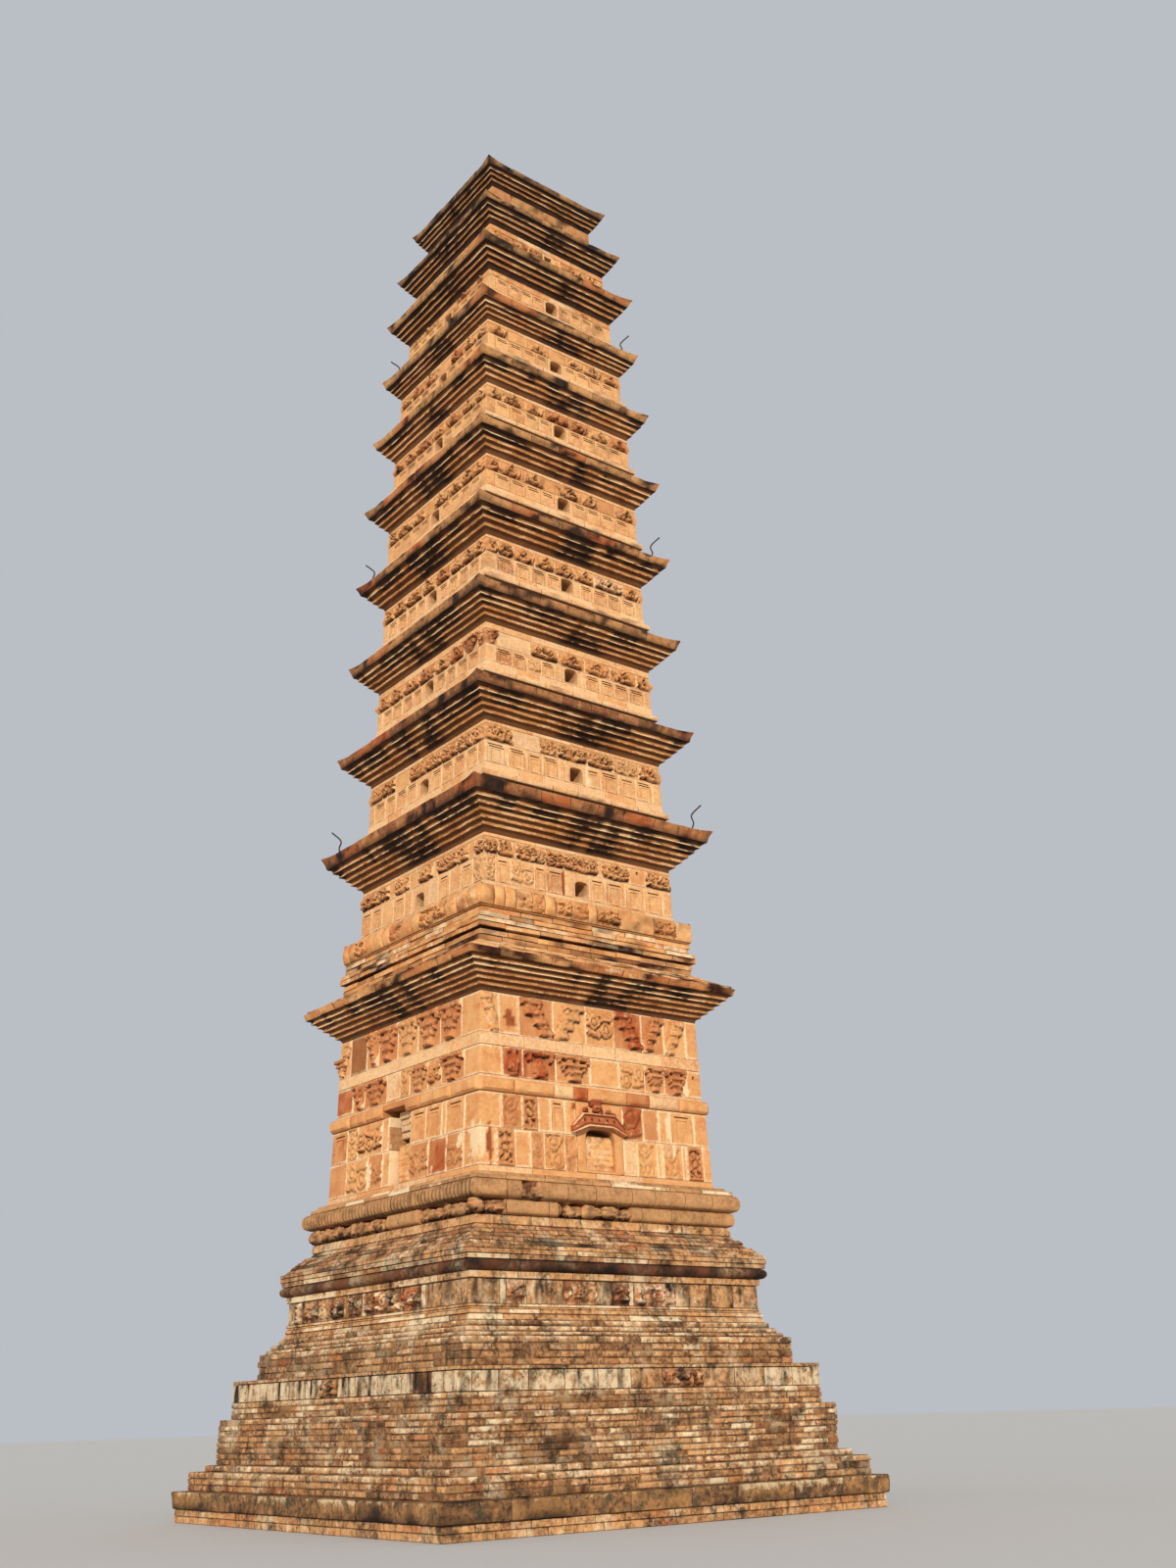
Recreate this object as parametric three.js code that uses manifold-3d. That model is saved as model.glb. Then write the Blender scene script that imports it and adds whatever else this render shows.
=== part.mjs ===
// Square masonry pagoda: eleven storeys of relief walls, corbel courses and tile eaves on a stepped pedestal.
// Millimetres, +Z up. The origin is the centre of the base on the ground. South is -Y and west is -X.
import * as THREE from 'three';
import { mergeVertices } from 'three/addons/utils/BufferGeometryUtils.js';
import Module from 'manifold-3d';

const wasm = await Module();
wasm.setup();

// Pedestal. Each course is a list of [half width, height] corners from its foot to its top.
const pedestalCourses = {
  foot_course: [[2600, 0], [2600, 130]],
  ground_slab: [[2640, 130], [2640, 300]],
  lower_step: [[2515, 300], [2515, 480], [2390, 480], [2390, 540]],
  lower_tier: [[2305, 540], [2305, 975]],
  upper_tier: [[2206, 975], [2206, 1355]],
  brick_tier: [[2020, 1355], [2020, 1610], [1920, 1650], [1920, 1700], [1810, 1775], [1810, 1810]],
  waist_frieze: [[1797, 1810], [1797, 2120], [1812, 2120], [1812, 2190]],
};
const waistCornice = { half: 1875, foot: 2190, top: 2420, roll: 60, neckHalf: 1612, slopeTop: 2630, neckTop: 2725 };
const lowerLotus = { half: 1655, foot: 2725, top: 2875, bulge: 45 };
const upperLotus = { half: 1705, foot: 2875, top: 3050, bulge: 60, filletHalf: 1655, filletTop: 3130 };
const rollSteps = 4;

// Storey 1: a lower wall with door recesses, a string course and a wall of bracket tiles.
const lowerWall = { footHalf: 1510, topHalf: 1482, foot: upperLotus.filletTop, top: 3925 };
const stringCourse = { half: 1512, top: 4065 };
const bracketWall = { footHalf: 1460, topHalf: 1439, top: 4950 };
const firstEave = { corbels: 5, half: 1757, foot: 5235, height: 75, tipHalf: 1788 };
const firstRoof = { steps: 3, topHalf: 1475, top: 5485 };

// Storey 2 stands on a plinth and a lotus band.
const plinth = { half: 1440, waist: 5607, lipHalf: 1470, lipFoot: 5628, lipTop: 5731, neckHalf: 1424, top: 5860 };
const lotusBand = { half: 1450, top: 6105, bulge: 30 };

// Storeys 2 to 11. half and topHalf are the wall's half widths, soffit is its top, and the eave's edge starts at
// eave with half width eaveHalf, is tiles high and ends at tipHalf. sill is the foot of the niche in each face.
const storeys = [
  { half: 1304, topHalf: 1294, soffit: 6740, corbels: 5, eave: 7073, eaveHalf: 1619, tiles: 135, tipHalf: 1645, sill: 6212 },
  { half: 1265, topHalf: 1251, soffit: 8088, corbels: 4, eave: 8370, eaveHalf: 1525, tiles: 115, tipHalf: 1540, sill: 7595 },
  { half: 1213, topHalf: 1201, soffit: 9343, corbels: 4, eave: 9612, eaveHalf: 1450, tiles: 120, tipHalf: 1465, sill: 8870 },
  { half: 1180, topHalf: 1170, soffit: 10525, corbels: 3, eave: 10780, eaveHalf: 1400, tiles: 110, tipHalf: 1415, sill: 10095 },
  { half: 1152, topHalf: 1147, soffit: 11667, corbels: 3, eave: 11910, eaveHalf: 1343, tiles: 105, tipHalf: 1358, sill: 11245 },
  { half: 1111, topHalf: 1106, soffit: 12735, corbels: 3, eave: 12978, eaveHalf: 1278, tiles: 105, tipHalf: 1294, sill: 12330 },
  { half: 1058, topHalf: 1056, soffit: 13745, corbels: 3, eave: 13942, eaveHalf: 1206, tiles: 120, tipHalf: 1222, sill: 13345 },
  { half: 989, topHalf: 985, soffit: 14620, corbels: 3, eave: 14873, eaveHalf: 1166, tiles: 108, tipHalf: 1184, sill: 14330 },
  { half: 937, topHalf: 930, soffit: 15420, corbels: 3, eave: 15662, eaveHalf: 1085, tiles: 72, tipHalf: 1095, sill: 15232 },
  { half: 812, topHalf: 812, soffit: 16200, corbels: 3, eave: 16420, eaveHalf: 944, tiles: 88, tipHalf: 954, sill: 0 },
];
const roofRise = 125;
const lipGap = 42;
const lipHeight = 78;
const lipOut = 52;
const lippedStoreys = 8;
const capHalf = 420;
const capRise = 110;
const corbelFace = 0.45;

// The corner tiles of an eave lean out and turn up over the last stretch of each side.
const cornerReach = 260;
const cornerOut = 26;
const cornerUp = 16;
const eaveSegments = 6;

// Niches: arched, the same in all four faces. Storey 10 has only a small square hole.
const niche = { width: 184, height: 184, depth: 230 };
const hole = { width: 115, height: 75, depth: 160 };
const archSteps = 6;

// Door recesses of storey 1 and what fills them.
const door = { width: 376, foot: 3225, spring: 3460, depth: 260, clearance: 0.3 };
// The south door is filled almost flush up to a narrowed top. The west one is filled further back, level with its head.
const southFilling = { thickness: 253, top: 3575, topWidth: 280 };
const westFilling = { thickness: 170 };
// The broken head over the west door, as [across, height] corners: the right side steps in brick by brick.
const brokenHead = [
  [188, 3630], [200, 3630], [200, 3750], [178, 3750], [178, 3810], [150, 3810], [150, 3868], [120, 3868],
  [120, 4000], [-350, 4000], [-350, 3925], [-250, 3830], [-220, 3630], [-188, 3630],
];
const hood = { half: 330, eave: 3612, ridgeHalf: 175, ridge: 3845, edge: 34, depth: 95 };
const hoodBlock = { from: -100, to: 60, top: 3915 };

// Bent iron rods that once carried bells, on the east, north and west corners of three eaves.
const rodStoreys = [2, 5, 8];
const rodRadius = 9;
const rodSides = 6;
const rodSteps = 7;
const rodInset = 210;
const rodPath = [[0, -60], [0, 30], [28, 130], [10, 230], [125, 345]];

const terracotta = new THREE.MeshStandardMaterial({ color: 0xdc9c66, roughness: 0.85, metalness: 0 });
const corbelBrick = new THREE.MeshStandardMaterial({ color: 0x7a4420, roughness: 0.9, metalness: 0 });
const eaveTile = new THREE.MeshStandardMaterial({ color: 0x96552f, roughness: 0.8, metalness: 0 });
const pedestalBrick = new THREE.MeshStandardMaterial({ color: 0x8e6440, roughness: 0.9, metalness: 0 });
const slabStone = new THREE.MeshStandardMaterial({ color: 0x6a4c3a, roughness: 0.9, metalness: 0 });
const hoodClay = new THREE.MeshStandardMaterial({ color: 0xa9502c, roughness: 0.85, metalness: 0 });

const pagoda = new THREE.Group();
pagoda.name = 'pagoda';

// A turned Y-up geometry stands up along +Z without rounding, because the matrix holds only zeros and ones.
const standUp = new THREE.Matrix4().set(1, 0, 0, 0, 0, 0, -1, 0, 0, 1, 0, 0, 0, 0, 0, 1);

function weld(geometry) {
  geometry.deleteAttribute('normal');
  geometry.deleteAttribute('uv');
  const merged = mergeVertices(geometry, 1e-3);
  const index = merged.index.array;
  const kept = [];
  for (let i = 0; i < index.length; i += 3) {
    const [a, b, c] = [index[i], index[i + 1], index[i + 2]];
    if (a !== b && b !== c && c !== a) kept.push(a, b, c);
  }
  merged.setIndex(kept);
  return merged;
}

function addPiece(name, geometry, material) {
  const mesh = new THREE.Mesh(geometry, material);
  mesh.name = name;
  geometry.computeVertexNormals();
  pagoda.add(mesh);
}

// A square course: a four-sided lathe whose flats stand at the half widths of the profile.
function squareCourse(profile) {
  const rim = profile.map(([half, z]) => new THREE.Vector2(half * Math.SQRT2, z));
  const foot = new THREE.Vector2(0, profile[0][1]);
  const top = new THREE.Vector2(0, profile[profile.length - 1][1]);
  const lathe = new THREE.LatheGeometry([foot, ...rim, top], 4, Math.PI / 4);
  return weld(lathe.applyMatrix4(standUp));
}

function toSolid(geometry) {
  const vertProperties = new Float32Array(geometry.attributes.position.array);
  const triVerts = new Uint32Array(geometry.index.array);
  return new wasm.Manifold(new wasm.Mesh({ numProp: 3, vertProperties, triVerts }));
}

function toGeometry(solid) {
  const mesh = solid.getMesh();
  const geometry = new THREE.BufferGeometry();
  geometry.setAttribute('position', new THREE.BufferAttribute(mesh.vertProperties, 3));
  geometry.setIndex(new THREE.BufferAttribute(mesh.triVerts, 1));
  return geometry;
}

// Turns a side's own frame, x along the face, y up and z out of the wall, to south, east, north or west.
function faceMatrix(side, out) {
  const turn = new THREE.Matrix4().makeRotationZ((side * Math.PI) / 2);
  const shift = new THREE.Matrix4().makeTranslation(0, -out, 0);
  return turn.multiply(shift).multiply(standUp);
}

function cutFaces(geometry, cuts) {
  let solid = toSolid(geometry);
  for (const cut of cuts) solid = solid.subtract(toSolid(cut));
  return toGeometry(solid);
}

function archShape(width, foot, spring) {
  const shape = new THREE.Shape();
  shape.moveTo(-width / 2, foot);
  shape.lineTo(width / 2, foot);
  shape.lineTo(width / 2, spring);
  shape.absarc(0, spring, width / 2, 0, Math.PI, false);
  shape.lineTo(-width / 2, foot);
  return shape;
}

function extruded(shape, depth) {
  return weld(new THREE.ExtrudeGeometry(shape, { depth, bevelEnabled: false, curveSegments: archSteps }));
}

// A recess of the given shape in one face of a wall, which runs a little past the face.
function recess(shape, half, depth, side) {
  const past = 60;
  return extruded(shape, depth + past).applyMatrix4(faceMatrix(side, half - depth));
}

// A roll bulges out between the foot and the top of a course as half a sine wave.
function rolledProfile(half, foot, top, bulge) {
  const points = [];
  for (let i = 0; i <= rollSteps; i += 1) {
    const t = i / rollSteps;
    points.push([half - bulge + bulge * Math.sin(Math.PI * t), foot + (top - foot) * t]);
  }
  return points;
}

for (const [name, profile] of Object.entries(pedestalCourses)) {
  addPiece(name, squareCourse(profile), name === 'ground_slab' ? slabStone : pedestalBrick);
}

addPiece('waist_cornice', squareCourse([
  [waistCornice.half - waistCornice.roll, waistCornice.foot],
  [waistCornice.half, waistCornice.foot + waistCornice.roll],
  [waistCornice.half, waistCornice.top],
  [waistCornice.neckHalf + 15, waistCornice.slopeTop],
  [waistCornice.neckHalf, waistCornice.slopeTop],
  [waistCornice.neckHalf, waistCornice.neckTop],
]), pedestalBrick);
addPiece('lower_lotus_course',
  squareCourse(rolledProfile(lowerLotus.half, lowerLotus.foot, lowerLotus.top, lowerLotus.bulge)), pedestalBrick);
addPiece('upper_lotus_course', squareCourse([
  ...rolledProfile(upperLotus.half, upperLotus.foot, upperLotus.top, upperLotus.bulge),
  [upperLotus.filletHalf, upperLotus.top],
  [upperLotus.filletHalf, upperLotus.filletTop],
]), pedestalBrick);

// Storey 1. The west door has lost its hood and the wall over it, up into the string course.
function brokenDoorShape() {
  const shape = new THREE.Shape();
  shape.moveTo(-door.width / 2, door.foot);
  shape.lineTo(door.width / 2, door.foot);
  for (const [across, z] of brokenHead) shape.lineTo(across, z);
  shape.closePath();
  return shape;
}

function fillingShape(shoulder) {
  const half = door.width / 2 - door.clearance;
  const shape = new THREE.Shape();
  shape.moveTo(-half, shoulder);
  shape.lineTo(-half, door.foot + door.clearance);
  shape.lineTo(half, door.foot + door.clearance);
  shape.lineTo(half, shoulder);
  return shape;
}

function doorBlocking(side, shape, thickness) {
  shape.closePath();
  const back = lowerWall.topHalf - door.depth + door.clearance;
  return extruded(shape, thickness).applyMatrix4(faceMatrix(side, back));
}

// The hood is a small roof in relief: curved slopes up to a ridge, a block on it and the door's arch cut out below.
function doorHood() {
  const shape = new THREE.Shape();
  const archRadius = door.width / 2 + hood.edge;
  const archStart = Math.asin((hood.eave - door.spring) / archRadius);
  shape.moveTo(-hood.half, hood.eave + hood.edge);
  shape.lineTo(-hood.half + hood.edge, hood.eave);
  shape.lineTo(-archRadius * Math.cos(archStart), hood.eave);
  shape.absarc(0, door.spring, archRadius, Math.PI - archStart, archStart, true);
  shape.lineTo(hood.half - hood.edge, hood.eave);
  shape.lineTo(hood.half, hood.eave + hood.edge);
  shape.quadraticCurveTo(hood.ridgeHalf + hood.edge, hood.eave + 2 * hood.edge, hood.ridgeHalf, hood.ridge);
  shape.lineTo(hoodBlock.to, hood.ridge);
  shape.lineTo(hoodBlock.to, hoodBlock.top);
  shape.lineTo(hoodBlock.from, hoodBlock.top);
  shape.lineTo(hoodBlock.from, hood.ridge);
  shape.lineTo(-hood.ridgeHalf, hood.ridge);
  shape.quadraticCurveTo(-hood.ridgeHalf - hood.edge, hood.eave + 2 * hood.edge, -hood.half, hood.eave + hood.edge);
  const face = extruded(shape, hood.depth).applyMatrix4(faceMatrix(0, lowerWall.topHalf));
  return toGeometry(toSolid(face).subtract(toSolid(clearedWall())));
}

function lowerWallCourse() {
  return squareCourse([[lowerWall.footHalf, lowerWall.foot], [lowerWall.topHalf, lowerWall.top]]);
}

function clearedWall() {
  const gap = door.clearance;
  return squareCourse([[lowerWall.footHalf + gap, lowerWall.foot], [lowerWall.topHalf + gap, lowerWall.top]]);
}

const doorShape = archShape(door.width, door.foot, door.spring);
const recessDepth = door.depth + lowerWall.footHalf - lowerWall.topHalf;
const doorCuts = [
  recess(doorShape, lowerWall.footHalf, recessDepth, 0),
  recess(doorShape, lowerWall.footHalf, door.depth / 2, 1),
  recess(doorShape, lowerWall.footHalf, door.depth / 2, 2),
  recess(brokenDoorShape(), lowerWall.footHalf, recessDepth, 3),
];
addPiece('storey_01_lower_wall', cutFaces(lowerWallCourse(), doorCuts), terracotta);
const southShape = fillingShape(door.spring);
southShape.lineTo(southFilling.topWidth / 2, southFilling.top);
southShape.lineTo(-southFilling.topWidth / 2, southFilling.top);
addPiece('south_door_blocking', doorBlocking(0, southShape, southFilling.thickness), corbelBrick);
addPiece('west_door_blocking', doorBlocking(3, fillingShape(brokenHead[0][1]), westFilling.thickness), corbelBrick);
addPiece('south_door_hood', doorHood(), hoodClay);
const stringBlock = squareCourse([[stringCourse.half, lowerWall.top], [stringCourse.half, stringCourse.top]]);
addPiece('storey_01_string_course',
  cutFaces(stringBlock, [recess(brokenDoorShape(), lowerWall.footHalf, recessDepth, 3)]), terracotta);
addPiece('storey_01_bracket_wall',
  squareCourse([[bracketWall.footHalf, stringCourse.top], [bracketWall.topHalf, bracketWall.top]]), terracotta);

// Corbel courses step out from a wall's top to an eave's foot. Each has a short upright face and a sloping underside.
function corbelCourses(wallHalf, soffit, eaveHalf, eave, count) {
  const out = (eaveHalf - wallHalf) / (count + 1);
  const rise = (eave - soffit) / (count + 1);
  const profile = [[wallHalf, soffit]];
  for (let i = 1; i <= count; i += 1) {
    const z = soffit + rise * i;
    profile.push([wallHalf + out * i, z], [wallHalf + out * i, z + rise * corbelFace]);
  }
  profile.push([eaveHalf, eave]);
  return squareCourse(profile);
}

// An eave's edge: rings of points round a square, straight below and leaning out and up at the corners above.
function eaveCourse(foot, half, top, tipHalf, innerHalf, innerTop) {
  const profile = [[0, foot], [half, foot], [tipHalf, top], [innerHalf, innerTop], [0, innerTop]];
  const points = profile.map(([r, z]) => new THREE.Vector2(r, z));
  const lathe = new THREE.LatheGeometry(points, 4 * eaveSegments, Math.PI / 4);
  const position = lathe.attributes.position;
  for (let segment = 0; segment <= 4 * eaveSegments; segment += 1) {
    const side = Math.floor(segment / eaveSegments) % 4;
    const step = (segment % eaveSegments) / eaveSegments * 2 - 1;
    const along = 1.4 * step - 0.4 * step ** 3;
    for (let ring = 0; ring < profile.length; ring += 1) {
      const [r, z] = profile[ring];
      const fromCorner = r * (1 - Math.abs(along));
      const lift = ring === 2 ? Math.max(0, 1 - fromCorner / cornerReach) ** 2 : 0;
      const out = r + cornerOut * lift;
      const [x, y] = [out * along, out];
      const turned = [[y, -x], [-x, -y], [-y, x], [x, y]][side];
      position.setXYZ(segment * profile.length + ring, turned[0], z + cornerUp * lift, turned[1]);
    }
  }
  return weld(lathe.applyMatrix4(standUp));
}

addPiece('storey_01_corbels',
  corbelCourses(bracketWall.topHalf, bracketWall.top, firstEave.half, firstEave.foot, firstEave.corbels), corbelBrick);

const roofProfile = [[firstEave.half, firstEave.foot], [firstEave.tipHalf, firstEave.foot + firstEave.height]];
const roofStep = (firstEave.tipHalf - firstRoof.topHalf) / firstRoof.steps;
const roofRiser = (firstRoof.top - firstEave.foot - firstEave.height) / firstRoof.steps;
for (let i = 1; i <= firstRoof.steps; i += 1) {
  const z = firstEave.foot + firstEave.height + roofRiser * (i - 1);
  roofProfile.push([firstEave.tipHalf - roofStep * i, z], [firstEave.tipHalf - roofStep * i, z + roofRiser]);
}
addPiece('storey_01_roof', squareCourse(roofProfile), corbelBrick);

addPiece('storey_02_plinth', squareCourse([
  [plinth.half, firstRoof.top],
  [plinth.half, plinth.waist],
  [plinth.lipHalf, plinth.lipFoot],
  [plinth.lipHalf, plinth.lipTop],
  [plinth.neckHalf, plinth.lipTop + 60],
  [plinth.neckHalf, plinth.top],
]), terracotta);
addPiece('storey_02_lotus_band',
  squareCourse(rolledProfile(lotusBand.half, plinth.top, lotusBand.top, lotusBand.bulge)), terracotta);

// Wall of one storey. From storey 3 up a small lip runs round its foot, and all but the top one have niches.
function storeyWall(storey, number, foot) {
  const profile = [[storey.half, foot]];
  if (number > 2 && number <= lippedStoreys) {
    const lipHalf = storey.half + lipOut;
    profile[0] = [storey.half + lipOut / 2, foot];
    profile.push([storey.half + lipOut / 2, foot + lipGap], [lipHalf, foot + lipGap], [lipHalf, foot + lipGap + lipHeight]);
    profile.push([storey.half, foot + lipGap + lipHeight + 12]);
  }
  profile.push([storey.topHalf, storey.soffit]);
  const wall = squareCourse(profile);
  if (!storey.sill) return wall;
  const size = number === 10 ? hole : niche;
  const spring = storey.sill + size.height - size.width / 2;
  const shape = number === 10 ? holeShape(storey.sill) : archShape(size.width, storey.sill, spring);
  return cutFaces(wall, [0, 1, 2, 3].map((side) => recess(shape, storey.half, size.depth, side)));
}

function holeShape(sill) {
  const shape = new THREE.Shape();
  shape.moveTo(-hole.width / 2, sill);
  shape.lineTo(hole.width / 2, sill);
  shape.lineTo(hole.width / 2, sill + hole.height);
  shape.lineTo(-hole.width / 2, sill + hole.height);
  shape.closePath();
  return shape;
}

// A rod runs outward along the diagonal: its points are [outward, height] from where it leaves the tiles.
class RodCurve extends THREE.CatmullRomCurve3 {
  constructor(corner, start, top) {
    const diagonal = new THREE.Vector3(corner[0], corner[1], 0).multiplyScalar(Math.SQRT1_2);
    super(rodPath.map(([out, up]) => diagonal.clone().multiplyScalar(start + out).setZ(top + up)));
  }
}

function addRods(geometry, tipHalf, top) {
  const outline = new THREE.Shape();
  outline.absarc(0, 0, rodRadius, 0, 2 * Math.PI, false);
  const start = tipHalf * Math.SQRT2 - rodInset;
  let solid = toSolid(geometry);
  for (const corner of [[1, -1], [1, 1], [-1, 1]]) {
    const extrudePath = new RodCurve(corner, start, top);
    const rod = new THREE.ExtrudeGeometry(outline, { steps: rodSteps, extrudePath, curveSegments: rodSides / 2 });
    solid = solid.add(toSolid(weld(rod)));
  }
  return toGeometry(solid);
}

let foot = lotusBand.top;
storeys.forEach((storey, index) => {
  const number = index + 2;
  const label = `storey_${String(number).padStart(2, '0')}`;
  const next = storeys[index + 1];
  const tip = storey.eave + storey.tiles;
  const nextFoot = next ? tip + roofRise : tip + capRise;
  const nextLip = number + 1 <= lippedStoreys ? lipOut / 2 : 0;
  const innerHalf = next ? next.half + nextLip : capHalf;
  addPiece(`${label}_wall`, storeyWall(storey, number, foot), terracotta);
  addPiece(`${label}_corbels`,
    corbelCourses(storey.topHalf, storey.soffit, storey.eaveHalf, storey.eave, storey.corbels), corbelBrick);
  let tiles = eaveCourse(storey.eave, storey.eaveHalf, tip, storey.tipHalf, innerHalf, nextFoot);
  if (rodStoreys.includes(number)) tiles = addRods(tiles, storey.tipHalf, tip);
  addPiece(`${label}_eave_tiles`, tiles, eaveTile);
  foot = nextFoot;
});

export default pagoda;
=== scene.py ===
import math
import bpy
import numpy as np
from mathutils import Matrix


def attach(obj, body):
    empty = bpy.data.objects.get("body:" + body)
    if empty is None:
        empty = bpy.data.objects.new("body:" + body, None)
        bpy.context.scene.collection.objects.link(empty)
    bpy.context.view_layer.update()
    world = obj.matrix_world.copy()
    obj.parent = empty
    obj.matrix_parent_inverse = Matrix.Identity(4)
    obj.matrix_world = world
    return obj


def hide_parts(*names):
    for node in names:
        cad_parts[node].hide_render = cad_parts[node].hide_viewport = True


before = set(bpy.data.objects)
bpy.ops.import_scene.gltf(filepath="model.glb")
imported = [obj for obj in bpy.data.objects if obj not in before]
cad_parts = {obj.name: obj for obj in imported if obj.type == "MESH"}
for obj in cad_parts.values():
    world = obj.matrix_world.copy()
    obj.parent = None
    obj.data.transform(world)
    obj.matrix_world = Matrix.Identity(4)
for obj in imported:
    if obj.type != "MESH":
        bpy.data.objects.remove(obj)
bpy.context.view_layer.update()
print("frame loaded:", len(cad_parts), "nodes")
scene = bpy.context.scene

# camera, light and floor; the camera is fitted to the square corners of the courses
view = {"place": (-9.97266, -14.28300, 0.93834), "yaw": 37.8873, "pitch": 22.0358, "roll": 1.7127,
        "focalPixels": 1585.4746, "longSide": 1600, "sensor": 36.0, "far": 400}
light = {"azimuth": -41, "elevation": 17, "strength": 3.1, "softness": 4, "tint": (1.0, 0.93, 0.84),
         "sky": (0.88, 0.92, 1.0), "skyStrength": 0.56}
ground = {"size": 120.0, "height": -0.001, "colour": (0.62, 0.60, 0.56, 1), "roughness": 0.9}


def addObject(name, data):
    thing = bpy.data.objects.new(name, data)
    scene.collection.objects.link(thing)
    return thing


def newMaterial(name):
    material = bpy.data.materials.new(name)
    material.use_nodes = True
    return material, material.node_tree, material.node_tree.nodes["Principled BSDF"]


# The camera's axes: forward from yaw and pitch, right level with the ground, both turned by the roll.
def makeCamera(v):
    yaw, pitch, roll = (math.radians(v[k]) for k in ("yaw", "pitch", "roll"))
    forward = np.array([math.sin(yaw) * math.cos(pitch), math.cos(yaw) * math.cos(pitch), math.sin(pitch)])
    right = np.array([math.cos(yaw), -math.sin(yaw), 0.0])
    down = np.cross(forward, right)
    across = math.cos(roll) * right + math.sin(roll) * down
    below = -math.sin(roll) * right + math.cos(roll) * down
    data = bpy.data.cameras.new("camera")
    data.sensor_width = v["sensor"]
    data.lens = v["focalPixels"] / v["longSide"] * v["sensor"]
    data.clip_end = v["far"]
    matrix = np.eye(4)
    matrix[:3] = np.stack([across, -below, -forward, v["place"]], 1)
    scene.camera = addObject("camera", data)
    scene.camera.matrix_world = matrix.T.tolist()


def makeLight(l):
    sun = bpy.data.lights.new("keyLight", "SUN")
    sun.energy = l["strength"]
    sun.angle = math.radians(l["softness"])
    sun.color = l["tint"]
    lamp = addObject("keyLight", sun)
    lamp.rotation_euler = (math.radians(90 - l["elevation"]), 0, math.radians(l["azimuth"]))
    scene.world = bpy.data.worlds.new("studio")
    scene.world.use_nodes = True
    background = scene.world.node_tree.nodes["Background"].inputs
    background["Color"].default_value = (*l["sky"], 1)
    background["Strength"].default_value = l["skyStrength"]
    scene.view_settings.view_transform = "Standard"


def makeFloor(g):
    mesh = bpy.data.meshes.new("floor")
    corners = [(x * g["size"], y * g["size"], g["height"]) for x, y in ((-1, -1), (1, -1), (1, 1), (-1, 1))]
    mesh.from_pydata(corners, [], [(0, 1, 2, 3)])
    floor = addObject("floor", mesh)
    material, tree, shader = newMaterial("paleFloor")
    shader.inputs["Base Color"].default_value = g["colour"]
    shader.inputs["Roughness"].default_value = g["roughness"]
    mesh.materials.append(material)


makeCamera(view)
makeLight(light)
makeFloor(ground)


# smooth noise
def latticeValue(ix, iy, seed):  # a whole-number hash of a lattice point, as a value from 0 to 1
    n = (ix * 374761393 + iy * 668265263 + seed * 362437) & 0xFFFFFFFF
    n = ((n ^ (n >> 13)) * 1274126177) & 0xFFFFFFFF
    return ((n ^ (n >> 16)) & 0xFFFF) / 65535.0


def patches(x, y, seed):  # value noise: lattice values blended with a smooth step between the four neighbours
    x, y = np.broadcast_arrays(np.asarray(x, float), np.asarray(y, float))
    ix, iy = np.floor(x).astype(np.int64), np.floor(y).astype(np.int64)
    fx, fy = x - ix, y - iy
    fx, fy = fx * fx * (3 - 2 * fx), fy * fy * (3 - 2 * fy)
    low = latticeValue(ix, iy, seed) * (1 - fx) + latticeValue(ix + 1, iy, seed) * fx
    high = latticeValue(ix, iy + 1, seed) * (1 - fx) + latticeValue(ix + 1, iy + 1, seed) * fx
    return low * (1 - fy) + high * fy


def clouds(x, y, seed):  # three octaves of the patches, each half as large and half as strong
    return (patches(x, y, seed) * 4 + patches(2.1 * x, 2.1 * y,
                                              seed + 7) * 2 + patches(4.3 * x, 4.3 * y, seed + 13)) / 7


def unit(v):
    return np.clip(v, 0, 1)


# meshes: surfaces are gathered in a batch and made into one piece
def newBatch():
    return {"points": [], "quads": [], "tris": [], "finish": [], "count": 0}


def addSurface(batch, points, quads, tris, finish):
    batch["quads"].append(np.asarray(quads, np.int64).reshape(-1, 4) + batch["count"])
    batch["tris"].append(np.asarray(tris, np.int64).reshape(-1, 3) + batch["count"])
    batch["points"].append(points.reshape(-1, 3))
    batch["finish"].append(unit(finish).reshape(-1, 4))
    batch["count"] += len(batch["points"][-1])


sharpAngle = math.radians(40)


def makePiece(name, batch, material, node):
    points = np.concatenate(batch["points"]).astype(np.float32)
    quads, tris = np.concatenate(batch["quads"]), np.concatenate(batch["tris"])
    corners = np.concatenate([quads.ravel(), tris.ravel()]).astype(np.int32)
    sizes = np.repeat([4, 3], [len(quads), len(tris)]).astype(np.int32)
    mesh = bpy.data.meshes.new(name)
    mesh.vertices.add(len(points))
    mesh.vertices.foreach_set("co", points.ravel())
    mesh.loops.add(len(corners))
    mesh.loops.foreach_set("vertex_index", corners)
    mesh.polygons.add(len(sizes))
    mesh.polygons.foreach_set("loop_start", (np.cumsum(sizes) - sizes).astype(np.int32))
    mesh.polygons.foreach_set("loop_total", sizes)
    mesh.update(calc_edges=True)
    # the finish attribute: tone, pale wear with painted highlights, soot with painted shade, and red clay
    finish = mesh.attributes.new("finish", "FLOAT_COLOR", "POINT")
    finish.data.foreach_set("color", np.concatenate(batch["finish"]).astype(np.float32).ravel())
    mesh.polygons.foreach_set("use_smooth", np.ones(len(sizes), bool))
    mesh.set_sharp_from_angle(angle=sharpAngle)
    mesh.materials.append(material)
    piece = addObject(name, mesh)
    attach(piece, "root")
    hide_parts(node)
    print(f"{name}: {2 * len(quads) + len(tris)} triangles")


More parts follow.
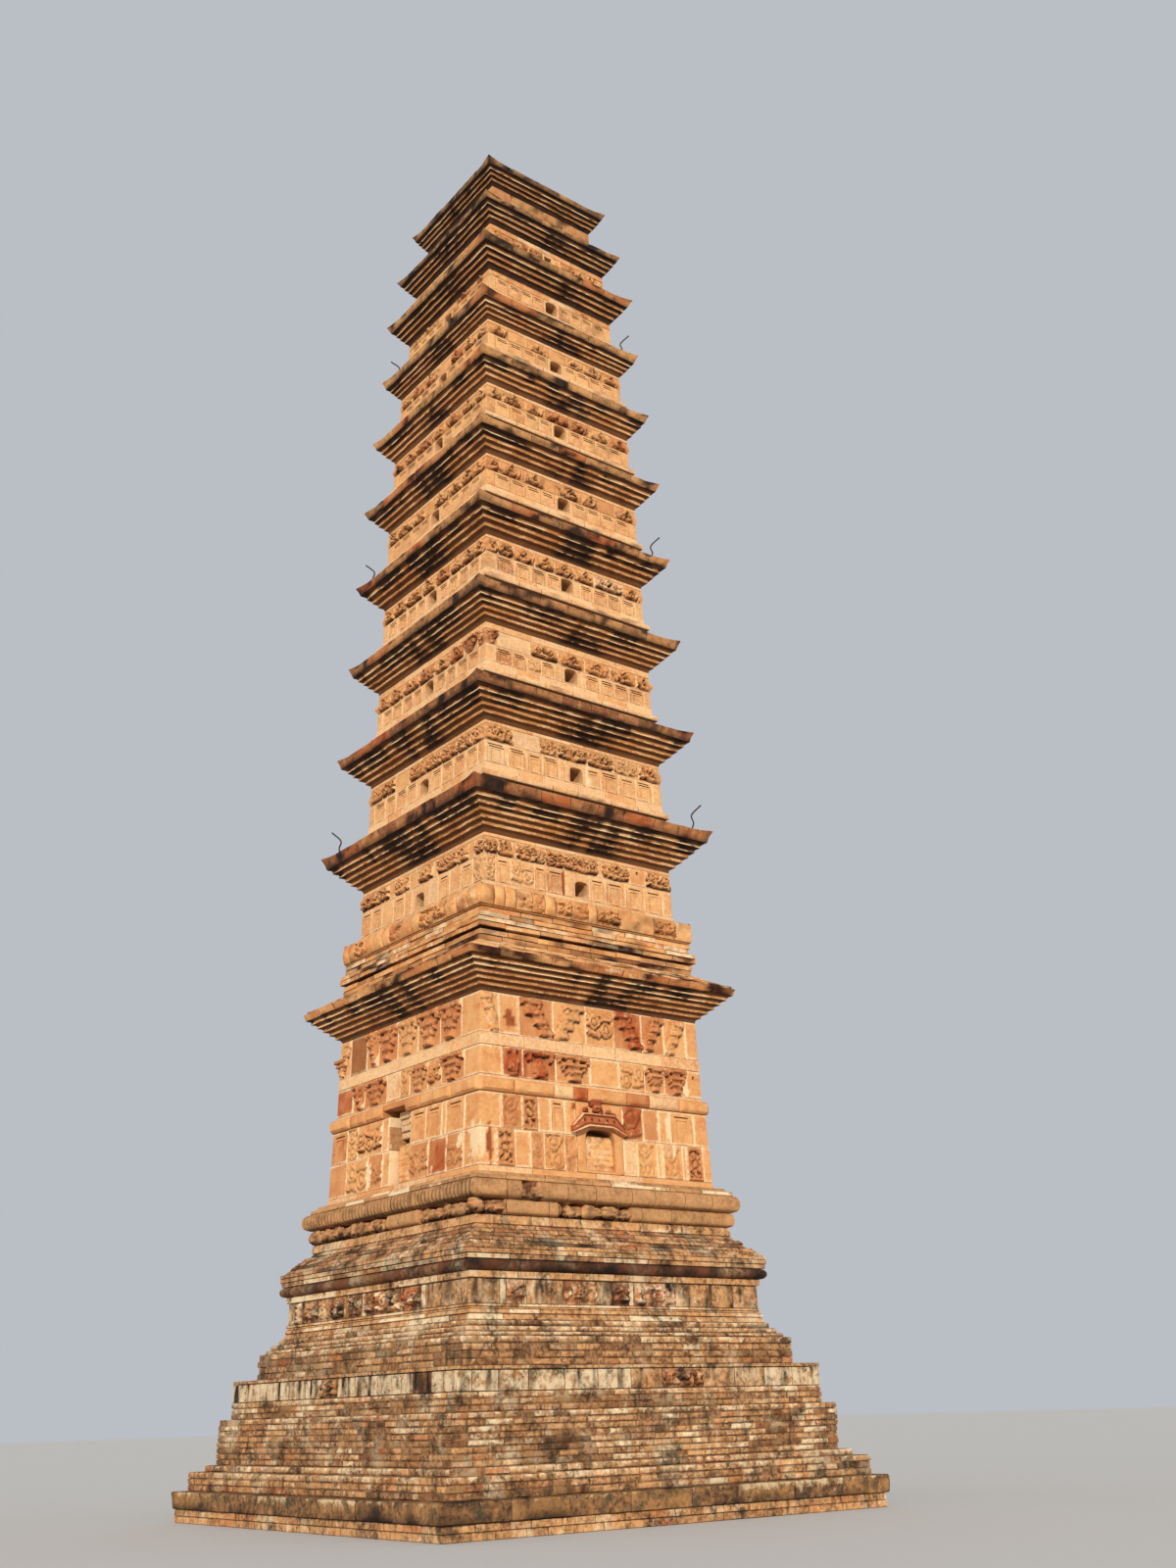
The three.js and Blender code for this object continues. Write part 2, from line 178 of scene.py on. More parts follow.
# A side's own frame: s along the face, out away from the axis. Sides 0 to 3 are south, east, north and west:
# each is the south one turned by quarter turns. The photo shows sides 0 and 3.
def toWorld(side, s, out, z):
    side, s, out, z = np.broadcast_arrays(side, s, out, z)
    return np.stack([np.choose(side, [s, out, -s, -out]), np.choose(side, [-out, s, out, -s]), z], -1)


def isSeen(side):
    return side in (0, 3)


def finishOf(tone=0.5, pale=0.0, soot=0.0, red=0.0):  # tone, pale wear and painted highlights, soot and painted shade, and red clay at each point
    return np.stack(np.broadcast_arrays(tone, pale, soot, red), -1).astype(float)


# half width of a face by height: upright, or a line between two points
def face(half0, z0=0.0, half1=None, z1=1.0):
    slope = 0 if half1 is None else (half1 - half0) / (z1 - z0)
    return lambda z: half0 + slope * (z - z0)


# A closed skin: four-sided faces join neighbouring rings, and a fan round a point closes each end
def addSkin(batch, rings, ends, finish, endFinish):
    index = np.arange(rings[..., 0].size).reshape(rings.shape[:2])
    after = np.roll(index, -1, axis=1)
    quads = np.stack([index[:-1], after[:-1], after[1:], index[1:]], -1)
    fans = [np.stack([after[0], index[0], 0 * index[0] + index.size], -1),
            np.stack([index[-1], after[-1], 0 * index[0] + index.size + 1], -1)]
    addSurface(batch, np.concatenate([rings.reshape(-1, 3), ends]), quads, fans,
               np.concatenate([finish.reshape(-1, 4), endFinish]))


# square rings: a profile of half widths carried round the four sides
ring = {"cornerBlend": 0.12, "jointHalf": 0.008, "jointSoot": 0.88, "unseenStep": 1.8, "cornerClear": 0.985}


# places along each side from -1 up to 1, with three close ones at a joint
def ringColumns(half, step, joints):
    columns = []
    near = ring["jointHalf"] / half
    for side in range(4):
        marks = np.asarray(joints[side], float) / half
        marks = marks[np.abs(marks) < ring["cornerClear"]]
        count = max(4, int(2 * half / (step * (1 if isSeen(side) else ring["unseenStep"]))))
        base = np.linspace(-1, 1, count + 1)[:-1]
        if len(marks):
            base = base[(np.abs(base[:, None] - marks[None, :]).min(1) > 1.6 * near) | (base == -1)]
        t = np.sort(np.concatenate([base, marks - near, marks, marks + near]))
        columns.append([0 * t.astype(int) + side, t, np.isin(t, marks),
                        side * 100 + np.searchsorted(marks, t + 1e-6)])
    return (np.concatenate(c)[None, :] for c in zip(*columns))


# Points of the ring: the profile's half width plus a shift along the side's normal, and at the corners the
# same shift sideways as well, so that the two sides meet on the diagonal. shift, lift and finish are
# functions of the side, the place along it, the height, the profile's row and the tile's number.
def addRing(batch, profile, step, joints=((),) * 4, shift=None, lift=None, finish=None, grooveDepth=0.008):
    profile = np.asarray(profile, float)
    half, z = profile[:, :1], profile[:, 1:]
    side, t, groove, tile = ringColumns(half.max(), step, joints)
    s = t * half
    at = (side, s, z, np.arange(len(profile))[:, None], tile)
    out = half + (shift(*at) if shift else 0) - groove * grooveDepth
    toCorner = unit(1 - (half - np.abs(s)) / ring["cornerBlend"])
    along = np.where(t == -1, -out, s + np.where(t < 0, -1, 1) * toCorner * (out - half))
    height = z + (lift(*at) if lift else 0) + 0 * along
    shade = np.broadcast_to(finish(*at) if finish else finishOf(), (*out.shape, 4)).copy()
    shade[..., 2] = np.maximum(shade[..., 2], ring["jointSoot"] * groove)
    ends = np.array([[0, 0, height[0].mean()], [0, 0, height[-1].mean()]])
    addSkin(batch, toWorld(side, along, out, height), ends, shade, shade[[0, -1], 0])


def addCore(batch, half, z0, z1):  # a plain ring behind the tiles
    addRing(batch, [(half, z0), (half, z1)], 0.5)


def evenJoints(half, length, k):  # joints about one length apart on each side, a little uneven
    count = max(2, round(2 * half / length))
    marks = np.linspace(-half, half, count + 1)[1:-1]
    return [marks + k.uniform(-0.12, 0.12, count - 1) * length for side in range(4)]


# blocks: a relief over a rectangle of a face, with sides and a back
# even lines, with two close ones at each cut and one inside each end
def gridLines(length, step, cuts=(), rim=0.005):
    special = [0.0, rim, length - rim, length]
    for c in cuts:
        if 0.004 < c < length - 0.004:
            special += [c - 0.0012, c + 0.0012]
    special = np.unique(np.round(special, 5))
    base = np.linspace(0, length, max(2, round(length / step)) + 1)
    far = np.abs(base[:, None] - special[None, :]).min(1) > 0.35 * step
    return np.sort(np.concatenate([base[far], special]))


# A closed slab between a front grid and the same outline further back: front faces, a skirt and a fan behind.
def addSheet(batch, side, s, z, out, sBack, back, finish):
    front = toWorld(side, s, out, z).reshape(-1, 3)
    rear = toWorld(side, sBack, back, z).reshape(-1, 3)
    index = np.arange(out.size).reshape(out.shape)
    quads = np.stack([index[:-1, :-1], index[:-1, 1:], index[1:, 1:], index[1:, :-1]], -1).reshape(-1, 4)
    loop = np.concatenate([index[0, :-1], index[:-1, -1], index[-1, :0:-1], index[:0:-1, 0]])
    behind = out.size + np.arange(len(loop))
    after, afterBehind = np.roll(loop, -1), np.roll(behind, -1)
    fan = np.stack([0 * loop + out.size + len(loop), afterBehind, behind], -1)
    shade = finish.reshape(-1, 4)
    shade = np.concatenate([shade, shade[loop], shade[:1]])
    # the sides and back are painted darker, as shade in the joints between tiles
    shade[out.size:, 2] = np.maximum(shade[out.size:, 2], 0.5)
    addSurface(batch, np.concatenate([front, rear[loop], rear[loop].mean(0)[None]]),
               np.concatenate([quads, np.stack([after, loop, behind, afterBehind], -1)]), fan, shade)


# carved shapes, drawn as heights over a tile of height 1 and width a: 1 inside a mark and 0 outside
def within(distance, soft=0.05):
    return unit(distance / soft + 0.5)


# The highest of some marks: a spot has three numbers (place and radius), a ring four (and half its line's
# width), a stroke five (its two ends and half its width), or six with its height.
def union(x, y, *marks):
    drawn = []
    for m in marks:
        if len(m) < 5:
            d = np.hypot(x - m[0], y - m[1])
            drawn.append(within(m[2] - d if len(m) == 3 else m[3] - np.abs(d - m[2])))
        else:
            dx, dy = m[2] - m[0], m[3] - m[1]
            along = unit(((x - m[0]) * dx + (y - m[1]) * dy) / max(dx * dx + dy * dy, 1e-9))
            d = np.hypot(x - m[0] - along * dx, y - m[1] - along * dy)
            drawn.append((m[5] if len(m) > 5 else 1) * within(m[4] - d))
    return np.maximum.reduce(drawn)


def slabs(x, y, *boxes):  # the highest of some boxes: left, right, foot, top and height of each
    return np.maximum.reduce([h * within(np.minimum.reduce([x - x0, x1 - x, y - y0, y1 - y]), 0.04)
                              for x0, x1, y0, y1, h in boxes])


def oval(x, y, cx, cy, r, wide, high):
    return within(r - np.hypot((x - cx) / wide, (y - cy) / high), 0.06)


# A cloud: a lobed head with a ring cut into it, on a ledge with an upturned tip, and a flat leaf beside it.
def cloudScroll(x, y, a, k):
    j = k.uniform(-0.04, 0.04, 6)
    cx, cy = 0.44 * a + j[0], 0.57 + j[1]
    raised = union(x, y, (cx, cy, 0.25), (cx - 0.28, cy - 0.06 + j[2], 0.16), (cx + 0.12, cy + 0.22, 0.16),
                   (cx - 0.46, 0.22 + j[3], cx + 0.28, 0.16, 0.10),
                   (cx + 0.28, 0.18, cx + 0.50, 0.42 + j[4], 0.07),
                   (cx + 0.68, 0.24, cx + 0.84, 0.62 + j[5], 0.10, 0.6))
    cut = union(x, y, (cx, cy, 0.14, 0.055), (cx - 0.40, 0.36 + j[3], cx + 0.26, 0.32, 0.048),
                (cx - 0.28, cy - 0.06 + j[2], 0.08, 0.045))
    return raised * (1 - 0.8 * cut)


# A wave of cloud: two curls of opposite turn over one long ledge with a dipped middle.
def cloudBand(x, y, a, k):
    j = k.uniform(-0.04, 0.04, 5)
    left, right = 0.26 * a, 0.72 * a
    raised = union(x, y, (left, 0.58 + j[0], 0.23), (right, 0.60 + j[1], 0.20),
                   (0.08 * a, 0.30, 0.46 * a, 0.16 + j[2], 0.09),
                   (0.46 * a, 0.16 + j[2], 0.92 * a, 0.30, 0.09),
                   (0.44 * a, 0.50 + j[3], 0.56 * a, 0.82, 0.07))
    cut = union(x, y, (left, 0.58 + j[0], 0.13, 0.055), (right, 0.60 + j[1], 0.11, 0.050),
                (0.14 * a, 0.38, 0.84 * a, 0.33, 0.045))
    return raised * (1 - 0.8 * cut)


# A bracket: slabs that widen upwards on a tapering body, with small blocks under the ends of the two widest.
def bracketArms(x, y, a, k):
    m = 0.5 * a
    boxes = [(0.62 * m, 1.38 * m, 0.05, 0.95, 0.60)]
    for level, reach in ((0.08, 0.30), (0.32, 0.46), (0.57, 0.70), (0.82, 0.94)):
        low, high = m - reach * m, m + reach * m
        boxes.append((low, high, level - 0.01, level + 0.14, 1))
        if reach > 0.6:
            boxes += [(low + 0.02, low + 0.15, level - 0.12, level, 0.85),
                      (high - 0.15, high - 0.02, level - 0.12, level, 0.85)]
    return slabs(x, y, *boxes)


# Half a bracket: slabs that step down to one side, with a slanting body behind them.
def hangingArm(x, y, a, k):
    boxes = []
    for level, x0, x1 in ((0.82, 0.03, 0.64), (0.57, 0.18, 0.70), (0.32, 0.40, 0.84), (0.06, 0.56, 0.97)):
        boxes += [(x0 * a, x1 * a, level, level + 0.14, 1),
                  (x1 * a - 0.14, x1 * a - 0.02, level - 0.11, level, 0.8)]
    return np.maximum(slabs(x, y, *boxes), union(x, y, (0.22 * a, 0.92, 0.82 * a, 0.16, 0.13, 0.55)))


# A table bracket: a wide slab over a bell, with a leg at each side.
def tableBracket(x, y, a, k):
    boxes = ((0.06, 0.94, 0.82, 0.96), (0.12, 0.22, 0.60, 0.84), (0.78, 0.88, 0.60, 0.84),
             (0.30, 0.70, 0.04, 0.14))
    return np.maximum(slabs(x, y, *((x0 * a, x1 * a, y0, y1, 1) for x0, x1, y0, y1 in boxes)),
                      0.9 * oval(x, y, 0.5 * a, 0.40, 0.32, 0.9, 1.1))


# A round vase under a small cap, on a foot.
def vaseBracket(x, y, a, k):
    return np.maximum(1.25 * oval(x, y, 0.5 * a, 0.40, 0.22, 0.9, 1.25), union(
        x, y, (0.40 * a, 0.10, 0.60 * a, 0.10, 0.05), (0.34 * a, 0.90, 0.66 * a, 0.90, 0.06),
        (0.5 * a, 0.42, 0.5 * a, 0.84, 0.08)))


# Leafy scrolls: rows of curls that lean left and right by turns, each with a cut ring and a stem beside it
def vineCurls(x, y, a, k):
    raised, cut = [], []
    across, rows = max(1, int(round(a / 0.55))), max(1, int(round(1.15 / a)))
    r = 0.40 * min(a / across, 1 / rows)
    for i in range(across * rows):
        turn = (-1) ** i
        cx = (i % across + 0.5) / across * a + k.uniform(-0.04, 0.04)
        cx += 0.25 * r * turn if across == 1 else 0
        cy = (i // across + 0.5) / rows + k.uniform(-0.04, 0.04) + (0.5 * r * turn if rows == 1 else 0)
        raised += [(cx, cy, r), (cx - r, cy - 1.4 * r * turn, cx + r, cy - 1.7 * r * turn, 0.36 * r),
                   (cx - 0.8 * r * turn, cy + 0.4 * r, cx - 1.5 * r * turn, cy + 1.2 * r, 0.34 * r, 0.8)]
        cut.append((cx, cy, 0.55 * r, 0.17 * r))
    return union(x, y, *raised) * (1 - 0.75 * union(x, y, *cut))


# eight petals round a boss: a ring whose radius follows the cosine of eight times the angle
def rosette(x, y, a, k):
    dx, dy = x - 0.5 * a, y - 0.5
    d = np.hypot(dx, dy)
    petals = within(0.27 + 0.07 * np.cos(8 * np.arctan2(dy, dx)) - d, 0.06)
    return np.maximum(petals - 0.8 * within(0.035 - np.abs(d - 0.13), 0.04),
                      union(x, y, (0.5 * a, 0.5, 0.40, 0.03)))


def pillow(x, y, a, k):  # a cushion: one minus the fourth power across, times one minus the square upwards
    return 1.25 * unit(1 - np.abs(2 * x / a - 1) ** 4) * unit(1 - (2 * y - 1) ** 2)


def ridgeRoll(x, y, a, k):  # a half round band along the tile
    return 0.9 * np.sqrt(unit(1 - (2 * y - 1) ** 4))


carvings = {
    "scroll": cloudScroll, "band": cloudBand, "bracket": bracketArms, "arm": hangingArm,
    "table": tableBracket, "vase": vaseBracket, "vine": vineCurls, "rosette": rosette, "pillow": pillow,
    "roll": ridgeRoll}
# how far lines wander
waver = {"pillow": 0, "roll": 0, "bracket": 0.07, "arm": 0.07, "table": 0.07, "vase": 0.07}
# how much wider a kind's grid is
coarser = {"plain": 2.6, "slots": 2.6, "panel": 2.6, "pillow": 1.5, "roll": 1.5}
relief = {"carve": 0.034, "border": 0.005, "slotDepth": 0.012, "holeDepth": 0.09, "roughness": 0.0035,
          "frame": 0.006, "groove": 0.007, "holeHalf": 0.019, "jointGap": 0.003, "depth": 0.23}
# Slots: left and right as parts of the width, foot and top below the tile's top. Frames: parts of the width.
sunken = {
    "slots": {"slots": ((0.14, 0.80, 0.044, 0.032), (0.20, 0.86, 0.072, 0.059)), "frames": (0.10, 0.30)},
    "panel": {"slots": ((0.20, 0.80, 0.064, 0.050),), "frames": (0.08, 0.28)},
}
# shade scales the painted shadow under carved strokes, and the crevice setting scales the painted shade in
# their creases
tileLook = {
    "tone": 0.5, "pale": 0.0, "soot": 0.0, "red": 0.0, "out": 0.0, "joint": 0.45, "mortar": 0, "smear": 0.009,
    "deep": 1.0, "ground": 0.12, "dense": 0, "bold": 0, "shade": 1.0, "creviceShade": 0.5, "blush": 0.16,
    "wear": 0, "stain": 0, "drips": 0, "simple": False, "framed": False, "flip": False, "hole": None,
    "corner": 0, "marks": ()}
tileWords = {
    "red": {"red": 0.75}, "rusty": {"red": 0.38}, "pale": {"pale": 0.42}, "white": {"pale": 0.85},
    "dark": {"tone": 0.0, "soot": 0.45, "red": 0.3}, "chalky": {"pale": 0.75, "tone": 0.5, "soot": 0.14},
    "deep": {"deep": 1.6}, "faint": {"deep": 0.5}, "keyhole": {"hole": (0.5, 0.74)},
    "framed": {"framed": True}, "left": {"flip": True}, "right": {"flip": False}}


def nearMean(v):  # mean of the eight places two steps away along the lines and one step away across them
    p = np.pad(v, 2, mode="edge")
    straight = p[:-4, 2:-2] + p[4:, 2:-2] + p[2:-2, :-4] + p[2:-2, 4:]
    return (straight + p[1:-3, 1:-3] + p[3:-1, 3:-1] + p[1:-3, 3:-1] + p[3:-1, 1:-3]) / 8


def fromAbove(v, rows):  # the same heights moved down by some lines
    return v[np.minimum(np.arange(len(v)) + rows, len(v) - 1)]


def inBox(x, y, box):
    return (x > box[0]) & (x < box[1]) & (y > box[2]) & (y < box[3])


# One tile: its lines, its heights in metres and its finish. Carved strokes stand over a sunk ground, with a
# painted shadow line under each: where the stroke a little higher up stands out more than the place itself.
def tileSurface(kind, width, height, step, k, look, mitre):
    step *= 1 if look["drips"] else coarser.get(kind, 1)
    slots, frames, holes = [], (), []
    if kind in sunken:
        slots = [(a * width, b * width, height - c, height - d) for a, b, c, d in sunken[kind]["slots"]]
        frames = () if look["simple"] else sunken[kind]["frames"]
    if look["hole"]:
        cx, cy, r = look["hole"][0] * width, look["hole"][1] * height, relief["holeHalf"]
        holes = [(cx - r, cx + r, cy - r, cy + r)]
    groove, bar = relief["groove"], (height - 0.100, height - 0.093)
    cutsX = [v for box in slots + holes for v in box[:2]]
    cutsX += [v for f in frames for e in (f * width, f * width + groove) for v in (e, width - e)]
    cutsY = [v for box in slots + holes for v in box[2:]] + [v for v in bar if frames]
    xs, ys = gridLines(width, step, cutsX), gridLines(height, step, cutsY)
    x, y = np.meshgrid(xs, ys)
    seed = int(k.integers(1, 90000))

    def noise(wide, high, number):
        return clouds(x / wide, y / high, seed + number)

    rough = noise(0.05, 0.05, 0) - 0.5
    lift = 2 * relief["roughness"] * rough
    tone, pale, soot = look["tone"] + 0.35 * rough, look["pale"] + 0 * x, look["soot"] + 0 * x
    red = look["red"] * np.clip(0.25 + 1.5 * noise(0.10, 0.12, 23), 0, 1.25)
    inside = np.minimum.reduce([x + 9 * mitre[0], width - x + 9 * mitre[1], y, height - y])
    if kind in carvings:
        bend = waver.get(kind, 0.16)
        u = (width - x if look["flip"] else x) / height + bend * (noise(0.06, 0.06, 21) - 0.5)
        v = y / height + bend * (noise(0.06, 0.06, 22) - 0.5)
        shape = carvings[kind](u, v, width / height, k)
        if kind in ("scroll", "band") and look["dense"]:
            shape = np.maximum(shape, look["dense"] * vineCurls(u, v, width / height, k))
        if look["framed"]:
            shape = np.maximum(0.8 * shape, unit(1.5 - np.abs(inside - 0.020) / 0.008))
        deep, shallow = look["deep"], min(look["deep"], 1)
        worn = np.clip(0.45 + 1.2 * noise(0.09, 0.09, 3), 0.35, 1.1)
        sunk = unit(inside / 0.010)
        lift += deep * relief["carve"] * (shape * worn - look["ground"]) * sunk
        if waver.get(kind, 1):
            above = fromAbove(shape, 2)
            # bold: more painted shadow under the strokes, and small pits painted dark with shade
            if look["bold"]:
                above = np.maximum(above, fromAbove(shape, 3))
                pits = unit(8 * (noise(0.045, 0.035, 33) - 0.55)) * unit(nearMean(shape) * 2)
                lift -= 0.02 * pits * sunk
                soot += look["bold"] * np.maximum(unit(1.6 * (above - shape - 0.15)), pits) * sunk
            # painted shadow under each stroke's lower edge, scaled by the shade setting
            under = unit(1.5 * (above - shape - 0.2)) * sunk
            soot += look["shade"] * np.clip((0.55 + 0.75 * noise(0.08, 0.08, 5)) * under * min(deep, 1.2), 0,
                                            0.95)
            # painted shade in the creases round the carved strokes
            soot += look["creviceShade"] * unit(2.6 * (nearMean(shape) - shape)) * sunk * shallow
            red += look["blush"] * unit(shape) * shallow
            pale += look["wear"] * unit(shape) * unit(4 * (noise(0.05, 0.05, 6) - 0.5))
    elif kind in sunken:
        fromSide, below = np.minimum(x, width - x), y < height - 0.086
        # painted shade in the frame grooves and the bar
        for i, f in enumerate(frames):
            edge = below & (fromSide > f * width) & (fromSide < f * width + groove) & ((y < bar[1]) | (i == 0))
            soot = np.where(edge, 0.42 - 0.12 * i, soot)
            lift = np.where(edge, lift - groove, lift)
        if frames:
            middle = fromSide > frames[1] * width
            barHere = (y > bar[0]) & (y < bar[1]) & middle
            soot = np.where(barHere, 0.35, soot)
            lift += relief["frame"] * (below & middle & ~barHere)
        red += 0.25 * below * (noise(0.06, 0.08, 9) > 0.52)
        # the slots are painted dark with shade
        for box in slots:
            lift = np.where(inBox(x, y, box), -relief["slotDepth"], lift)
            soot = np.where(inBox(x, y, box), 0.88, soot)
    elif kind == "rough":
        lump = noise(0.035, 0.035, 11)
        lift += 0.05 * (lump - 0.62)
        # painted shade in the low parts of the lumpy face
        soot += np.clip(1.4 * (0.42 - lump), 0, 0.6)
    soot += look["stain"] * unit(3.5 * (noise(0.20, 0.16, 15) - 0.50))
    if look["drips"]:
        falling = unit(4 * (noise(0.055, 0.45, 13) - 0.50))
        soot += look["drips"] * falling * unit(0.5 * y / height + 0.9 * noise(0.1, 0.12, 14))
    # holes painted near black with shade
    for box in holes:
        lift = np.where(inBox(x, y, box), -relief["holeDepth"], lift)
        soot = np.where(inBox(x, y, box), 0.97, soot)
    toEnd = x if mitre[0] else width - x
    if look["corner"]:  # the roll that stands out past the corner, the same on both faces
        end = unit(1 - toEnd / 0.10)
        both = look["corner"] * np.exp(-((y / height - 0.38) / 0.22) ** 2) - 0.004
        lift = lift * (1 - end ** 0.5) + both * end ** 0.5
        soot *= 1 - 0.8 * end
    elif any(mitre):
        end = unit(1 - toEnd / 0.03)
        lift = lift * (1 - end) - 0.003 * end
    rim = np.zeros(x.shape, bool)
    rim[:, 0], rim[:, -1] = not mitre[0], not mitre[1]
    rim[[0, -1]] = True
    lift = np.where(rim, np.minimum(lift, 0) - relief["border"], lift)
    if look["mortar"]:
        patchy = np.clip(0.2 + 1.6 * noise(0.09, 0.09, 31), 0, 1.2)
        pale = np.maximum(pale, look["mortar"] * patchy * unit(1.4 - inside / look["smear"]))
        soot = np.where(rim, 0.05, soot)
    else:
        soot = np.where(rim, np.maximum(soot, look["joint"]), soot)
    return xs, ys, lift + look["out"], finishOf(tone, pale, soot, red)


# Patches on a face: inside an ellipse with a ragged edge the finish goes over to plaster or to bare clay.
patchFinish = {"plaster": (0.6, 0.80, 0.04, 0.0), "bare": (0.1, 0.0, 0.30, 0.9),
               "pink": (0.75, 0.30, 0.0, 0.35)}


def markPatches(side, s, z, finish, marks):
    for which, across, up, wide, high, kind in marks:
        if which == side:
            d = np.hypot((s - across) / wide, (z - up) / high) + 1.3 * (clouds(s / 0.06, z / 0.08, 5) - 0.5)
            inside = unit((1 - d) / 0.15)[..., None]
            finish[:] = finish * (1 - inside) + np.array(patchFinish[kind]) * inside


# The front is the wall's half width plus the relief, on a grid. A mitred end lies on the corner's diagonal.
def addTile(batch, side, s0, s1, z0, z1, halfAt, kind, step, k, look, mitre):
    gap = relief["jointGap"]
    a, b = (s0 if mitre[0] else s0 + gap / 2), (s1 if mitre[1] else s1 - gap / 2)
    xs, ys, lift, finish = tileSurface(kind, b - a, z1 - z0 - gap, step, k, look, mitre)
    s, z = np.meshgrid(a + xs, z0 + ys)
    markPatches(side, s, z, finish, look["marks"])
    out, back = halfAt(z) + lift, halfAt(z) - relief["depth"]
    if mitre[0]:
        s[:, 0] = -out[:, 0]
    if mitre[1]:
        s[:, -1] = out[:, -1]
    sBack = np.clip(s, -back if mitre[0] else -np.inf, back if mitre[1] else np.inf)
    addSheet(batch, side, s, z, out, sBack, back, finish)


# A row of tiles across one face: words such as "scroll 38 red", kind, width and looks, laid left to right and
# stretched to the face or to a span of it.
def addTileRow(batch, side, z0, z1, halfAt, words, step, k, base, span=(None, None)):
    half = float(halfAt(0.5 * (z0 + z1)))
    first, last = (-half if span[0] is None else span[0]), (half if span[1] is None else span[1])
    tiles = [w.split() for w in words.split(",")]
    edges = np.cumsum([0] + [float(t[1]) for t in tiles])
    edges = edges / edges[-1] * (last - first) + first
    for i, tile in enumerate(tiles):
        if tile[0] == "open":
            gap = relief["jointGap"]
            addOpening(batch, side, edges[i] + gap / 2, edges[i + 1] - gap / 2, z0, z1 - gap, halfAt,
                       base["opening"])
            continue
        look = {**tileLook, **base}
        look["tone"] += k.uniform(-0.22, 0.22)
        look["flip"] = bool(k.integers(0, 2))
        for word in tile[2:]:
            look.update(tileWords[word])
        ends = (i == 0 and span[0] is None, i == len(tiles) - 1 and span[1] is None)
        look["corner"] *= any(ends)
        addTile(batch, side, edges[i], edges[i + 1], z0, z1, halfAt, tile[0], step, k, look, ends)


# the south face's words, or the west one's; the unseen faces have them in mirror image
def rowWords(rows, side):
    words = rows[side > 1]
    return words if isSeen(side) else mirrored(words)


def mirrored(words):
    return ",".join(reversed(words.split(",")))


# a block with an opening: rays from its middle meet the outline and the opening at the same angles
def rayHits(polygon, centre, angles):
    a = np.asarray(polygon, float) - centre
    d = np.stack([np.cos(angles), np.sin(angles)], -1)[:, None, :]
    e = (np.roll(a, -1, axis=0) - a)[None]
    cross = d[..., 0] * e[..., 1] - d[..., 1] * e[..., 0]
    cross = np.where(np.abs(cross) < 1e-12, 1e-12, cross)
    t = (a[None, :, 0] * e[..., 1] - a[None, :, 1] * e[..., 0]) / cross
    u = (a[None, :, 0] * d[..., 1] - a[None, :, 1] * d[..., 0]) / cross
    t = np.where((u >= -1e-9) & (u <= 1 + 1e-9) & (t > 0), t, np.inf).min(1)
    return centre + d[:, 0, :] * t[:, None]


# Eight rings: the back, the outline, three on the face, the mouth, and two inside the hollow.
def addOpening(batch, side, s0, s1, z0, z1, halfAt, o):
    outline = np.array([[s0, z0], [s1, z0], [s1, z1], [s0, z1]])
    mouthLine = np.asarray(o["mouth"], float)
    top = mouthLine[:, 1].max()
    centre = 0.5 * (mouthLine.min(0) + mouthLine.max(0))
    both = np.concatenate([outline, mouthLine]) - centre
    angles = np.arctan2(both[:, 1], both[:, 0])
    angles = np.unique(np.round(np.concatenate([angles, np.linspace(-np.pi, np.pi, 49)[:-1]]), 6))
    outer, mouth = rayHits(outline, centre, angles), rayHits(mouthLine, centre, angles)
    loops = np.stack([outer, outer] + [mouth + (outer - mouth) * part for part in (0.94, 0.55, 0.12, 0, 0)] +
                     [centre + (mouth - centre) * 0.97])
    depth = o["depth"]
    lifts = np.array([-depth - 0.002, -relief["border"], 0, 0, 0, -0.003, -0.45 * depth, -depth])[:, None]
    # painted shade inside the hollow, darker towards its top as if shadowed by the arch, and a painted pool of
    # light on its floor
    sootAndShadeByRing = np.array([0.6, 0.45, 0, 0, 0.05, 0.15, *o["dark"]])[:, None]
    s, z = loops[..., 0], loops[..., 1]
    out = halfAt(z) + lifts + 0.004 * (clouds(s / 0.05, z / 0.05, 77) - 0.5) * (lifts >= 0)
    upper = np.clip((z - centre[1]) / (top - centre[1]), -1, 1)
    pale = o["pale"] + o["paintedFloorLight"] * (lifts < -0.01) * (upper < -0.4)
    finish = finishOf(o["tone"], pale, sootAndShadeByRing * (1 + 0.5 * upper * (lifts < -0.01)), o["red"])
    ends = toWorld(side, centre[0], halfAt(centre[1]) - depth - np.array([0.002, 0]), centre[1])
    addSkin(batch, toWorld(side, s, out, z), ends, finish,
            finishOf(o["tone"], [0.1, 0.1], o["dark"][1], o["red"]))


# An arch flatter than a half circle: across and up follow the cosine and the sine, each to a power below one.
def archOutline(width, foot, top, rise):
    angles = np.linspace(0, np.pi, 15)
    c, s = np.cos(angles), np.sin(angles)
    arc = np.stack([0.5 * width * np.sign(c) * np.abs(c) ** 0.6, top - rise + rise * s ** 0.8], -1)
    return np.concatenate([[[-width / 2, foot], [width / 2, foot]], arc])


